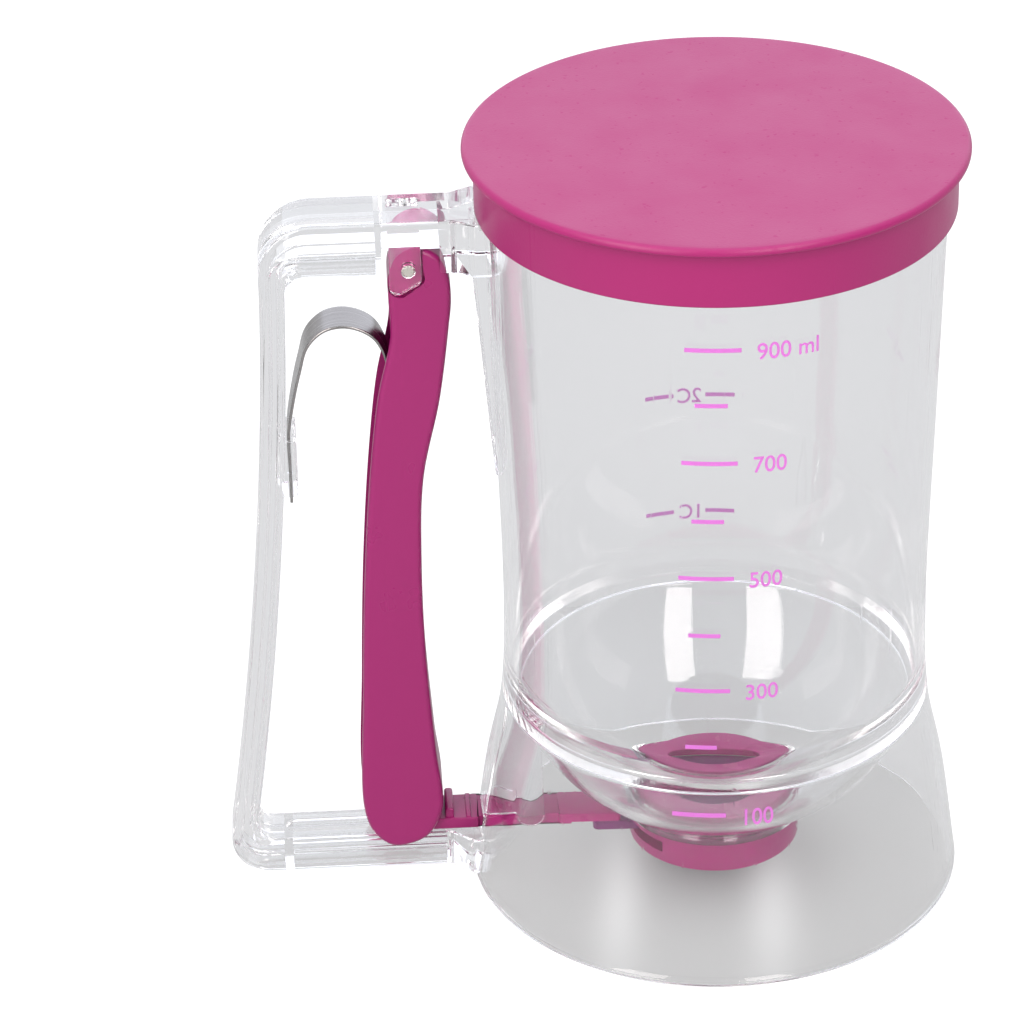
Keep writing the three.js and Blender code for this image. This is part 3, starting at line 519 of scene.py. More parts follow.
def bowl_arc(radius, from_across, to_across, steps):
    """Points of a sphere round the bowl's centre, from one distance from the axis to another, equally
    spaced."""
    angle = np.linspace(math.asin(from_across / radius), math.asin(to_across / radius), steps + 1)
    return np.stack([radius * np.sin(angle), bowl_centre - radius * np.cos(angle)], axis=1)


heights = np.linspace(bowl_floor, bowl_centre, 4000)
bowl_rim = heights[np.argmax(sphere_at(bowl_radius, heights) > wall_at(inner_wall, heights))]
# The crotch fillet is a circle that touches the skirt's inside and the bowl's back: its centre lies one
# fillet radius from each.
fillet_reach = np.hypot(wall_at(inner_wall, heights) - crotch_round, bowl_centre - heights)
fillet_height = heights[np.argmax(fillet_reach - bowl_back - crotch_round < 0)]
fillet_centre = np.array([wall_at(inner_wall, fillet_height) - crotch_round, fillet_height])
to_bowl = np.array([0, bowl_centre]) - fillet_centre
fillet_end = math.atan2(to_bowl[1], to_bowl[0])
fillet_angles = np.linspace(fillet_end, 0.0, 13)
crotch = fillet_centre + crotch_round * np.stack([np.cos(fillet_angles), np.sin(fillet_angles)], axis=1)

rim_arc = np.linspace(0, np.pi, 13)
rim_edge = np.array([rim_radius - wall_thickness / 2, jug_height - rim_round]) + np.stack(
    [wall_thickness / 2 * np.cos(rim_arc), rim_round * np.sin(rim_arc)], axis=1)
foot_edge = rounded([
    [foot_inside + 1, 3], [foot_inside, 0.0, foot_round], [base_radius, 0.0, foot_round],
    [base_radius - 0.2, 3]], 5)[1:-1]
upper_inside = inner_wall[
    (inner_wall[:, 1] > bowl_rim + 1.2) & (inner_wall[:, 1] < jug_height - rim_blend)][::-1]
lower_inside = inner_wall[(inner_wall[:, 1] > 1.2) & (inner_wall[:, 1] < fillet_height - 0.3)][::-1]
jug_profile = np.vstack([
    wall_line[(wall_line[:, 1] > 1.0) & (wall_line[:, 1] < jug_height - rim_blend)],
    rim_edge,
    upper_inside,
    bowl_arc(bowl_radius, sphere_at(bowl_radius, bowl_rim - 0.8), counterbore + 0.5, 60),
    [[counterbore, bowl_floor + counterbore_depth - 0.4], [counterbore, bowl_floor],
     [bowl_hole, bowl_floor], [bowl_hole, bowl_floor_underside], [boss_radius, bowl_floor_underside]],
    bowl_arc(bowl_back, boss_radius + 0.3, crotch[0][0] - 0.1, 60),
    crotch,
    lower_inside,
    foot_edge,
])
jug = turned("jug", jug_profile)

bowl_middle = bowl_radius + wall_thickness / 2
skirt_middle = wall_line - (wall_thickness / 2, 0)
skirt_middle = skirt_middle[(skirt_middle[:, 1] > 2) & (skirt_middle[:, 1] < fillet_height)]
below_bowl = np.vstack([
    [[boss_radius, 2.0]], skirt_middle,
    bowl_arc(bowl_middle, sphere_at(bowl_middle, fillet_height) - 0.2, boss_radius, 40)])
rib_outline = rounded([
    [rib_reach, bowl_centre], [rib_reach, rib_foot - rib_nub_drop, rib_nub - 0.3],
    [rib_reach + 2 * rib_nub, rib_foot - rib_nub_drop, rib_nub - 0.3],
    [rib_reach + 2 * rib_nub, rib_foot, 0.6], [base_radius, rib_foot], [base_radius, bowl_centre]], 6)
for side in (-1, 1):
    inner, outer = sorted((side * rib_across, side * (rib_across + rib_thickness)))
    rib = plate("rib", rib_outline, inner, outer, edge=(0.35, 0.35), steps=3)
    combined(rib, turned("below_bowl", below_bowl, 96), "INTERSECT")
    join(jug, rib)
window_plan = rectangle(window_low, window_high, -window_half, window_half, [window_round] * 4)
window_rings = np.array([
    [[reach, across, height] for height, across in window_plan] for reach in (50.5, 60.0)])
window = solid("window", window_rings.reshape(-1, 3), stack_faces(2, len(window_plan)))
cut(jug, window)
finished(jug, "jug", "clear_plastic", jug_plastic, "jug_body", angle=28)


# --- Valve seat ---
# Magenta ring, moulded to line the hole in the bowl's floor. Its flange is dished towards the hole and
# rests on a silicone ring, and its collar reaches down to the shutter.
hole_radius = 11.8
collar_radius = 15.4
flange_radius = 19.1
seat_foot = 12.6
flange_underside = 17.6
seat_top = 20.7
mouth_radius = 11.3
mouth_top = 19.5
mouth_lap = 0.5

grain, grain_in, grain_end = node_group("moulded_grain", ("Grain Scale",), ("Height", "Flow"))
pebbles = add_node(grain, "ShaderNodeTexVoronoi", {
    "Vector": grain_in["Vector"], "Scale": grain_in["Grain Scale"]}, feature="SMOOTH_F1")
fine = add_node(grain, "ShaderNodeTexNoise", {
    "Vector": grain_in["Vector"], "Scale": grain_in["Grain Scale"], "Detail": 4.0})
flow = add_node(grain, "ShaderNodeTexNoise", {"Vector": grain_in["Vector"], "Scale": 16.0, "Detail": 2.0})
grain_sum = add_node(grain, "ShaderNodeMath", {
    0: pebbles.outputs["Distance"], 1: 0.6, 2: fine.outputs["Fac"]}, operation="MULTIPLY_ADD")
plug(grain, grain_end, {"Height": grain_sum.outputs["Value"], "Flow": flow.outputs["Fac"]})


def dyed_plastic(name, deep, light, shine=0.30, grain_scale=1500.0, grain_height=0.00002, painted_lift=1.0):
    """Moulded magenta plastic: two close shades where the melt flowed, a fine mould grain, and rubbed patches
    that shine a little more. Seen through a clear piece, its colour is painted lighter by the factor in its
    last argument: painted light that stands in for the light which the clear plastic carries to it."""
    material, tree, shader, node = fresh_material(name)
    place_of = node("ShaderNodeTexCoord").outputs["Object"]
    texture = node("ShaderNodeGroup", {"Vector": place_of, "Grain Scale": grain_scale}, node_tree=grain)
    worn = node("ShaderNodeGroup", {
        "Vector": place_of, "Patch Scale": 55.0, "Scratch Scale": 700.0}, node_tree=marks)
    shade = node("ShaderNodeMix", {"Factor": texture.outputs["Flow"], 6: deep, 7: light}, data_type="RGBA")
    # Painted light: the colour is scaled up where the ray reached it through a clear piece.
    seen = node("ShaderNodeLightPath").outputs["Is Transmission Ray"]
    painted_gain = node("ShaderNodeMath", {0: seen, 1: painted_lift - 1.0, 2: 1.0}, operation="MULTIPLY_ADD")
    lit = node(
        "ShaderNodeVectorMath", {0: shade.outputs[2], "Scale": painted_gain.outputs["Value"]}, operation="SCALE")
    gloss = node("ShaderNodeMapRange", {
        "Value": worn.outputs["Patches"], "From Min": 0.3, "From Max": 0.7,
        "To Min": shine - 0.05, "To Max": shine + 0.06})
    dull = node("ShaderNodeMath", {
        0: worn.outputs["Scratches"], 1: 0.15, 2: gloss.outputs["Result"]}, operation="MULTIPLY_ADD")
    skin = node("ShaderNodeBump", {
        "Height": texture.outputs["Height"], "Strength": 0.6, "Distance": grain_height})
    scored = node("ShaderNodeBump", {
        "Height": worn.outputs["Scratches"], "Strength": 0.3, "Distance": 0.00003,
        "Normal": skin.outputs["Normal"]}, invert=True)
    plug(tree, shader, {
        "Base Color": lit.outputs["Vector"], "Roughness": dull.outputs["Value"],
        "Normal": scored.outputs["Normal"], "IOR": 1.49})
    return material


# The seat's magenta is painted lighter than the lever's: painted light that stands in for the light reaching
# it through the clear bowl.
seat_magenta_painted_light = dyed_plastic("seat_magenta_painted_light", (0.66, 0.05, 0.32, 1), (0.70, 0.06, 0.34, 1), 0.24)
seat = turned("seat", rounded([
    [hole_radius, seat_foot, 0.3], [collar_radius, seat_foot, 0.4], [collar_radius, flange_underside],
    [flange_radius, flange_underside, 0.3], [flange_radius, seat_top, 0.8],
    [mouth_radius, mouth_top, 0.6], [mouth_radius, flange_underside + mouth_lap, 0.2],
    [hole_radius, flange_underside, 0.2]], 5), 128)
finished(seat, "jug", "magenta_plastic", seat_magenta_painted_light, "valve_seat")


# --- Silicone seals ---
# Two milky silicone rings with rounded edges. One lies between the seat's flange and the bowl's floor, and
# the other between the seat's collar and the shutter.
ring_low, ring_high = 16.75, 17.45
sliding_low, sliding_high = 11.85, 12.45


def soft_grained(name, grain_scale, mixed_by, deep, light, relief):
    """A material of two close shades, mixed by one output of the moulded grain, with the grain's fine relief
    on it. Gives the material, its node tree, its shader and its colour."""
    material, tree, shader, node = fresh_material(name)
    texture = node("ShaderNodeGroup", {
        "Vector": node("ShaderNodeTexCoord").outputs["Object"], "Grain Scale": grain_scale}, node_tree=grain)
    shade = node("ShaderNodeMix", {"Factor": texture.outputs[mixed_by], 6: deep, 7: light}, data_type="RGBA")
    skin = node("ShaderNodeBump", {
        "Height": texture.outputs["Height"], "Strength": relief, "Distance": 0.00001})
    plug(tree, shader, {"Base Color": shade.outputs[2], "Normal": skin.outputs["Normal"]})
    return material, tree, shader, shade.outputs[2]


rubber, rubber_tree, rubber_shader = soft_grained(
    "milky_silicone", 2500.0, "Flow", (0.62, 0.60, 0.58, 1), (0.70, 0.68, 0.66, 1), 0.5)[:3]
plug(rubber_tree, rubber_shader, {
    "Roughness": 0.62, "Subsurface Weight": 0.25, "Subsurface Radius": (0.001, 0.001, 0.001)})
for name, inside, outside, foot, top, node_name in (
        ("bowl_ring", 16.0, 18.9, ring_low, ring_high, "bowl_gasket"),
        ("sliding_ring", 11.8, 13.8, sliding_low, sliding_high, "shutter_seal")):
    seal = turned(name, rectangle(inside, outside, foot, top, [0.25] * 4, 4), 96)
    finished(seal, "jug", "silicone", rubber, node_name)


# --- Valve shutter ---
# Flat round magenta plate that closes the hole from below. Its tongue points to the handle, and the link
# bar's peg drops into a hole through the tongue's thicker end.
shutter_low = 9.5
shutter_high = 11.7
shutter_radius = 14.2
tongue_half = 4.6
tongue_block = 20.4
tongue_end = 28.6
block_rise = 0.5
peg_reach = 25.7
peg_hole_radius = 1.9
ring_inner = 7.0
ring_outer = 7.8
ring_depth = 0.4


def drum(name, inside, outside, foot, top, steps=96):
    """Sharp-edged ring about the jug's axis, which is a full drum where its inside is zero."""
    return turned(name, rectangle(inside, outside, foot, top), steps)


def post(name, reach, across, radius, foot, top, edge, steps=40):
    """Round upright post: a circle that rises from foot to top with both rims rolled in by edge."""
    angle = np.linspace(0, 2 * np.pi, steps, endpoint=False)
    circle = np.stack([reach + radius * np.cos(angle), across + radius * np.sin(angle)], axis=1)
    return plate(name, circle, foot, top, edge=(edge, edge), steps=4, flat=True)


shutter_plan = rectangle(
    -shutter_radius, shutter_radius, -shutter_radius, shutter_radius, [shutter_radius] * 4, 28)
shutter = plate("shutter", shutter_plan, shutter_low, shutter_high, edge=(0.4, 0.3), flat=True)
tongue_plan = rectangle(shutter_radius / 2, tongue_end, -tongue_half, tongue_half, (0, 1.2, 1.2, 0))
tongue = plate("tongue", tongue_plan, shutter_low, shutter_high, edge=(0.3, 0.3), flat=True)
block_plan = rectangle(tongue_block, tongue_end, -tongue_half, tongue_half, (0.5, 1.2, 1.2, 0.5))
block = plate(
    "block", block_plan, shutter_low + 0.02, shutter_high + block_rise, edge=(0.3, 0.3), flat=True)
groove = drum("groove", ring_inner, ring_outer, shutter_high - ring_depth, shutter_high + 1)
join(shutter, tongue)
join(shutter, block)
cut(shutter, groove)
cut(shutter, post("peg_hole", peg_reach, 0, peg_hole_radius, shutter_low - 1, shutter_high + 2, 0))
# The shutter's colour is a darker violet than the other magenta parts: painted shade for the shade it lies in
# under the bowl.
shutter_painted_shade = dyed_plastic("shutter_painted_shade", (0.25, 0.018, 0.185, 1), (0.28, 0.022, 0.205, 1))
finished(shutter, "slider", "magenta_plastic", shutter_painted_shade, "valve_shutter")


# --- Valve housing ---
# Magenta cup that screws on under the bowl. A channel through its side lets the shutter slide towards the
# handle, and a round lip under its floor is the outlet.
housing_radius = 19.7
housing_wall = 2.0
housing_foot = 6.2
housing_top = 14.3
housing_floor = 6.8
channel_floor = 9.2
channel_top = 12.0
channel_half = 14.6
channel_reach = 24
lip_foot = 6.5
lip_wall = 1.6


def slab(name, start, end, half, low, high):
    """Sharp-edged block from one reach to another, half to each side across, between two heights."""
    return plate(name, rectangle(start, end, -half, half), low, high, edge=(0, 0), flat=True)


housing = turned("housing", rounded([
    [hole_radius, lip_foot, 0.4], [hole_radius + lip_wall, lip_foot, 0.4],
    [hole_radius + lip_wall, housing_floor, 0.15], [housing_radius - housing_wall, housing_floor, 0.15],
    [housing_radius - housing_wall, housing_foot, 0.5], [housing_radius, housing_foot, 0.7],
    [housing_radius, housing_top, 0.5], [bowl_hole, housing_top, 0.3],
    [bowl_hole, channel_top], [hole_radius, channel_top]], 4), 160)
for room in (
        drum("pocket", 0, channel_half, channel_floor, channel_top + 0.1),
        drum("bore", 0, bowl_hole, channel_floor, housing_top + 2),
        slab("channel", 0, channel_reach, channel_half, channel_floor, channel_top)):
    cut(housing, room)
# The housing's magenta is painted lighter than the lever's: painted light that stands in for the light
# reaching it through the clear skirt.
valve_magenta_painted_light = dyed_plastic("valve_magenta_painted_light", (0.45, 0.012, 0.19, 1), (0.49, 0.016, 0.21, 1))
finished(housing, "jug", "magenta_plastic", valve_magenta_painted_light, "valve_housing")


# --- Link bar ---
# Flat magenta pull bar that lies on the handle's foot arm, goes through the skirt's window and drops its
# peg into the shutter's tongue. Its saddle grips the web of the lever.
bar_foot = 11.9
bar_top = 14.7
bar_inner = 22.1
bar_step = 33.7
bar_half = 5.2
bar_waist_half = 4.6
waist_start = 36.5
waist_end = 55.5
hook_height = 3.8
hook_half = 4.6
bump_height = 2.4
pad_rib_start = 57.2
pad_rib_end = 58.4
pad_rib_half = 4.9
pad_rib_height = 0.4
peg_radius = 1.6
bar_outer = (jug_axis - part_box("link_bar")[0].x) * 1000
hook_start = bar_outer - 2.0
bump_end = hook_start - 2.5
bump_start = bump_end - 2.0


def mirrored(near_side):
    """Completes an outline, whose near side is given, with its mirror image in the middle plane."""
    return near_side + [[corner[0], -corner[1], *corner[2:]] for corner in near_side[::-1]]


def centred(name, outline, half, **settings):
    """Plate that reaches equally far to both sides of the handle's middle plane. half is that distance, or a
    function of (reach, height)."""
    if callable(half):
        return plate(name, outline, lambda x, y: -half(x, y), half, **settings)
    return plate(name, outline, -half, half, **settings)


bar_plan = rounded(mirrored([
    [bar_inner, -bar_half, 1.0], [waist_start, -bar_half, 0.4], [waist_start, -bar_waist_half, 0.4],
    [waist_end, -bar_waist_half, 0.4], [waist_end, -bar_half, 0.4], [bar_outer, -bar_half, 0.8]]), 4)
bar = plate("bar", bar_plan, bar_foot, bar_top, edge=(0.3, 0.35), steps=4, flat=True)
cut(bar, slab("under_step", bar_inner - 2, bar_step, 7, bar_foot - 2, bar_foot + 0.6))
for name, start, end, rise, half, corner, edge, steps in (
        ("hook", hook_start, bar_outer, hook_height, hook_half, 0.7, 0.4, 4),
        ("bump", bump_start, bump_end, bump_height, hook_half, 0.7, 0.4, 4),
        ("pad_rib", pad_rib_start, pad_rib_end, pad_rib_height, pad_rib_half, 0.3, 0.2, 3)):
    side_view = rectangle(start, end, bar_foot + 1, bar_top + rise, (0, 0, corner, corner), steps)
    join(bar, centred(name, side_view, half, edge=(edge, edge)))
join(bar, post("peg", peg_reach, 0, peg_radius, bar_foot - 2.2, bar_top - 0.5, 0.3))
# Seen through the clear arm and skirt, this magenta is painted 2.2 times lighter.
part_magenta = dyed_plastic("part_magenta", (0.275, 0.007, 0.112, 1), (0.295, 0.009, 0.124, 1), painted_lift=2.2)
finished(bar, "slider", "magenta_plastic", part_magenta, "link_bar")


# --- Handle frame ---
# Clear moulding, bonded to the jug at its two spread feet. The grip, the corners and the foot arm are an
# I-section with open pockets. The top arm has a thick bar above its pocket, a cut for the lever's head,
# and two ears that hold the pin.
arm_top = 170.2
arm_underside = 157.6
foot_top = 11.6
foot_underside = 2.4
grip_reach_top = 100.0
grip_reach_foot = 114.74
grip_thickness = 5.6
corner_top = 12.0
corner_foot = 9.0
corner_inside = 4.0
half_top = 7.6
half_foot = 5.7
web_half = 1.0
web_side = 9.6
arm_bar = 6.3
arm_flange = 1.8
grip_outer_flange = 1.9
grip_inner_flange = 1.0
foot_flange = 2.0
foot_deck = 1.5
pocket_root_top = 54.1
pocket_root_foot = 60.0
foot_rib = 99.0
foot_rib_thickness = 2.0
slot_margin = 1.2
pin_reach = 67.4
pin_height = 158.5
slot_front = pin_reach - 9.0
slot_back = pin_reach + 5.8
slot_ceiling = arm_top - arm_bar
ear_inner = 5.6
ear_front = 2.8
ear_back = 4.2
ear_drop_front = 3.1
ear_drop_back = 7.1
pin_hole_radius = 1.58
root = 46.0
foot_root = 44
below_arm = 150
above_arm = 175
through = 12
guide_half = 2.6
guide_end = 100.4
grip_bends = [[-0.03, 0.3], [0.4, 0.7]]


def grip_line(shift, low, high, steps=60):
    """Side of the grip: a cubic Bezier curve from the top corner to the foot corner, moved by shift, cut to
    the heights between low and high, and listed upwards."""
    ends = np.array([[grip_reach_top, arm_top], [grip_reach_foot, foot_underside]])
    bends = np.array([ends[0] + (ends[1] - ends[0]) * share for share in grip_bends])
    t = np.linspace(0, 1, steps + 1)[:, None]
    curve = ends[0] * (1 - t) ** 3 + 3 * bends[0] * t * (1 - t) ** 2
    curve = curve + 3 * bends[1] * t**2 * (1 - t) + ends[1] * t**3
    curve = curve[::-1] + (shift, 0)
    inside = curve[(curve[:, 1] > low) & (curve[:, 1] < high)]
    at = np.interp([low, high], curve[:, 1], curve[:, 0])
    return np.vstack([[at[0], low], inside, [at[1], high]])


def loop_outline(root, bar=0.0, outer=0.0, foot=0.0, deck=0.0, inner=0.0, ceiling=0.0, corner=0.0):
    """The handle's side view, open towards the jug, with each side moved inwards by its own amount."""
    top, low = arm_top - bar, foot_underside + foot
    floor_of, roof = foot_top - deck, arm_underside + ceiling
    back_line = grip_line(-outer, low, top)[::-1]
    front_line = grip_line(inner - grip_thickness, floor_of, roof)
    top_radius, foot_radius, inner_radius = corner_top - corner, corner_foot - corner, corner_inside - inner

    def clear_of(line, height, room):
        return line[np.abs(line[:, 1] - height) > room + 2]

    back_points = clear_of(clear_of(back_line[1:-1], top, top_radius), low, foot_radius)
    front_points = clear_of(clear_of(front_line[1:-1], floor_of, inner_radius), roof, inner_radius)
    return rounded([
        [root, top], [*back_line[0], top_radius], *back_points.tolist(), [*back_line[-1], foot_radius],
        [root, low], [root, floor_of], [*front_line[0], inner_radius], *front_points.tolist(),
        [*front_line[-1], inner_radius], [root, roof]], 32)


def half_width(reach, height):
    """Half the frame's width: full at the top arm, narrowing evenly down the grip to the foot arm."""
    return np.interp(height, [foot_top, arm_underside], [half_foot, half_top])


handle = centred("handle", loop_outline(root), half_width, edge=(0.7, 0.7), steps=6)
for side in (-1, 1):
    pocket = loop_outline(
        root, arm_bar, grip_outer_flange, foot_flange, foot_deck, grip_inner_flange, arm_flange, 3.0)
    inner, outer = sorted((side * web_half, side * web_side))
    rims = (0.9, 0) if side > 0 else (0, 0.9)
    hollow = plate("hollow", pocket, inner, outer, edge=rims, steps=5)
    for start, end, low, high in (
            (40.0, pocket_root_top, below_arm, above_arm), (40.0, pocket_root_foot, 0.0, 15.0),
            (foot_rib, foot_rib + foot_rib_thickness, 0.0, 12.5),
            (slot_front - slot_margin, slot_back + slot_margin, below_arm, above_arm)):
        keep = centred("keep", rectangle(start, end, low, high), through, edge=(0, 0))
        cut(hollow, keep)
    cut(handle, hollow)
slot_cut = centred(
    "slot_cut", rectangle(slot_front, slot_back, below_arm, slot_ceiling, (0, 0, 0.8, 0.8)), through,
    edge=(0, 0))
cut(handle, slot_cut)
guide_plan = rectangle(base_radius, guide_end, -guide_half, guide_half, (0, 2.4, 2.4, 0), 8)
guide = plate("guide", guide_plan, foot_top - 0.7, foot_top + 2, edge=(0.3, 0), flat=True)
cut(handle, guide)

for side in (-1, 1):
    inner, outer = sorted((side * ear_inner, side * half_top))
    ear = plate("ear", rounded([
        [pin_reach - ear_front, slot_ceiling + 1.0],
        [pin_reach - ear_front, pin_height - ear_drop_front, 1.8],
        [pin_reach + ear_back, pin_height - ear_drop_back, 1.8],
        [pin_reach + ear_back, slot_ceiling + 1.0]], 6),
        inner, outer, edge=(0.25, 0.25), steps=3)
    join(handle, ear)
angle = np.linspace(0, 2 * np.pi, 40, endpoint=False)
pin_hole = np.stack([
    pin_reach + pin_hole_radius * np.cos(angle), pin_height + pin_hole_radius * np.sin(angle)], axis=1)
cut(handle, centred("pin_hole", pin_hole, through, edge=(0, 0)))

clip_foot = 103.0
clip_top = 117.0
clip_half = 6.3
clip_slot_half = 5.3
clip_slot_room = 0.6
clip_wall = 1.0
clip_stand = 0.75
clip_lap = 2.2
grip_inside = grip_line(-grip_thickness, foot_top, arm_underside)
leg_reach = float(np.interp(clip_top, grip_inside[:, 1], grip_inside[:, 0])) - clip_stand
clip_front = leg_reach - clip_slot_room - clip_wall
clip_plan = rectangle(clip_front, leg_reach + clip_lap, -clip_half, clip_half, (0.8, 0, 0, 0.8))
clip = plate("clip", clip_plan, clip_foot, clip_top, edge=(0.4, 0.4), steps=4, flat=True)
join(handle, clip)
clip_slot = slab(
    "clip_slot", leg_reach - clip_slot_room, leg_reach + clip_slot_room, clip_slot_half, clip_foot - 2,
    clip_top + 2)
cut(handle, clip_slot)

foot_spread = 10.4
for name, start, flare, neck, end, neck_half, end_half, low, high in (
        ("top_foot", foot_root, 52.9, 57.9, 60.5, half_top, half_top - 0.2, arm_underside, arm_top),
        ("low_foot", 49.8, base_radius, 61.8, 63.0, half_foot, half_foot - 0.1, foot_underside, foot_top)):
    spread_plan = rounded(mirrored([
        [start, -foot_spread], [flare, -foot_spread, 1.5], [neck, -neck_half, 2.0], [end, -end_half]]), 6)
    join(handle, plate(name, spread_plan, low + 0.02, high - 0.02, edge=(0.6, 0.6), steps=5, flat=True))
strap_foot = 104.0
strap_half = 8.2
strap_depth = 0.5
strap_growth = 2.9


def strap_width(reach, height):
    """Half the strap's width: full higher up, and rounded off over its last few millimetres like a tongue."""
    left = np.clip((strap_foot + strap_half - height) / strap_half, 0, 0.96)
    return strap_half * np.sqrt(1 - left**2)


strap_rise = np.linspace(strap_foot + 1.5, arm_underside, 24)
strap_reach = wall_at(wall_line, strap_rise) + strap_depth + strap_growth * (
    strap_rise - strap_foot) / (arm_underside - strap_foot)
strap = centred("strap", rounded([
    [foot_root, strap_foot], [wall_at(wall_line, strap_foot) + strap_depth, strap_foot, 0.3],
    *np.stack([strap_reach, strap_rise], axis=1).tolist(),
    [wall_at(wall_line, arm_underside) + strap_depth + strap_growth, arm_underside + 0.5],
    [foot_root, arm_underside + 0.5]], 5),
    strap_width, edge=(0.7, 0.7), steps=5)
join(handle, strap)
joint_gap = 0.3
lid_room_radius = 52.9
lid_room_foot = 169.0
wall_room = np.vstack([
    [[0, -2], [base_radius + joint_gap, -2]], wall_line + (joint_gap, 0),
    [[rim_radius + joint_gap, 200], [0, 200]]])
cut(handle, turned("wall_room", wall_room, 192))
cut(handle, drum("lid_room", 0, lid_room_radius, lid_room_foot, 190, 192))
handle_plastic = clear_plastic("handle_clear_styrene", 70.0, 0.00006, (0.955, 0.957, 0.96, 1), 1.53)
finished(handle, "jug", "clear_plastic", handle_plastic, "handle_frame", angle=0)


# --- Lever pin ---
# Steel pin pressed through both ears. Ten splines round each end bite into the ears, and it is plain where
# the lever turns on it.
pin_core = 1.25
spline_depth = 0.25
spline_count = 10
pin_end = half_top
pin_steps = 160

pin_angle = np.linspace(0, 2 * np.pi, pin_steps, endpoint=False)
tooth = np.clip(np.cos(spline_count * pin_angle) * 1.6, -1, 1) * 0.5 + 0.5
pin_stations = np.array([
    [-pin_end, 0.0, 0], [-pin_end, 0.62, 0], [-pin_end, 1.02, 0.6], [-pin_end + 0.12, 1.14, 1.0],
    [-pin_end + 0.3, pin_core, 1.0], [-ear_inner, pin_core, 1.0], [-ear_inner + 0.02, pin_core, 0.0],
    [ear_inner - 0.02, pin_core, 0.0], [ear_inner, pin_core, 1.0], [pin_end - 0.3, pin_core, 1.0],
    [pin_end - 0.12, 1.14, 1.0], [pin_end, 1.02, 0.6], [pin_end, 0.62, 0], [pin_end, 0.0, 0]])
pin_across = pin_stations[:, :1]
pin_round = pin_stations[:, 1:2] + pin_stations[:, 2:] * spline_depth * tooth
pin_points = np.stack([
    pin_reach + pin_round * np.cos(pin_angle), np.broadcast_to(pin_across, pin_round.shape),
    pin_height + pin_round * np.sin(pin_angle)], axis=-1)
pin_faces = grid_faces(len(pin_stations), pin_steps)[: (len(pin_stations) - 1) * pin_steps]
pin = solid("pin", pin_points.reshape(-1, 3), pin_faces)

steel, steel_tree, steel_shader, steel_node = fresh_material("pin_steel_ground")
steel_lines = steel_node("ShaderNodeTexNoise", {
    "Vector": steel_node("ShaderNodeTexCoord").outputs["Object"], "Scale": 2600.0, "Detail": 3.0})
steel_shine = steel_node("ShaderNodeMapRange", {
    "Value": steel_lines.outputs["Fac"], "From Min": 0.3, "From Max": 0.7, "To Min": 0.25, "To Max": 0.5})
steel_skin = steel_node("ShaderNodeBump", {
    "Height": steel_lines.outputs["Fac"], "Strength": 0.5, "Distance": 0.00004})
plug(steel_tree, steel_shader, {
    "Base Color": (0.62, 0.60, 0.55, 1), "Metallic": 1.0, "Roughness": steel_shine.outputs["Result"],
    "Normal": steel_skin.outputs["Normal"]})
finished(pin, "jug", "pin_steel", steel, "lever_pin", angle=25)


# --- Squeeze lever ---
# Magenta moulding: a U-channel open towards the grip, with a solid domed head that turns on the pin under
# the top arm. Its sides are crowned, and a recess in each side of the head makes room for the ear.
lever_reach = 58.0
lever_depth = 24.0
lever_foot = 9.3
lever_head = 163.5
lever_half_top = 7.0
lever_half_foot = 7.7
lever_wall = 1.5
hollow_top = 146.0
web_foot = 15.2
head_half = 5.2
recess_room = 0.4
recess_side = 9.7
squeeze = math.radians(9.5)
lever_shares = [
    [0.375, 0.017], [0.242, 0.062], [0.288, 0.166], [0.35, 0.328], [0.362, 0.49], [0.317, 0.63],
    [0.142, 0.759], [0.042, 0.871], [0.012, 0.918], [0.034, 0.958], [0.117, 0.986], [0.308, 1],
    [0.492, 0.987], [0.572, 0.957], [0.583, 0.925], [0.579, 0.86], [0.712, 0.764], [0.817, 0.634],
    [0.908, 0.458], [0.967, 0.264], [1, 0.065], [0.912, 0.023], [0.75, 0], [0.54, 0.002]]
lever_corners = np.array(lever_shares) * (lever_depth, lever_head - lever_foot) + (lever_reach, lever_foot)


def lever_half(reach, height):
    """Half the lever's width: narrowest at its head and widening evenly to its foot, where it straddles the
    arm."""
    return np.interp(height, [0.0, lever_head + 2], [lever_half_foot, lever_half_top])


def lever_hollow(reach, height):
    """Half the width of the room between the lever's two side walls."""
    return lever_half(reach, height) - lever_wall


lever_outline = smooth_line(lever_corners, 10, closed=True)
lever = centred("lever", lever_outline, lever_half, edge=(1.3, 1.3), steps=8)
front_line = smooth_line(lever_corners[1:10], 12)
hollow_line = front_line[front_line[:, 1] < hollow_top] + (lever_wall, 0)
hollow_outline = np.vstack([
    [[90, 0], [90, hollow_top], [hollow_line[-1, 0], hollow_top]], hollow_line[::-1],
    [[hollow_line[0, 0], 0]]])
channel = centred("channel", hollow_outline, lever_hollow, edge=(0.7, 0.7), steps=4)
cut(lever, channel)
under_web = centred("under_web", rectangle(40, 90, 0, web_foot), lever_hollow, edge=(0.5, 0.5))
cut(lever, under_web)
for turn in np.linspace(0, -squeeze, 5):
    swing = np.array([[math.cos(turn), math.sin(turn)], [-math.sin(turn), math.cos(turn)]])
    recess = rounded([
        [-ear_front - recess_room, slot_ceiling + 1.4 - pin_height],
        [-ear_front - recess_room, -ear_drop_front - recess_room, 2.0],
        [ear_back + recess_room, -ear_drop_back - recess_room, 2.0],
        [ear_back + recess_room, slot_ceiling + 1.4 - pin_height]], 6)
    recess = recess @ swing + (pin_reach, pin_height)
    for side in (-1, 1):
        inner, outer = sorted((side * head_half, side * recess_side))
        cut(lever, plate("recess", recess, inner, outer, edge=(0, 0)))
cut(lever, centred("lever_hole", pin_hole, through, edge=(0, 0)))
finished(lever, "lever", "magenta_plastic", part_magenta, "squeeze_lever", angle=35, weighted=True)


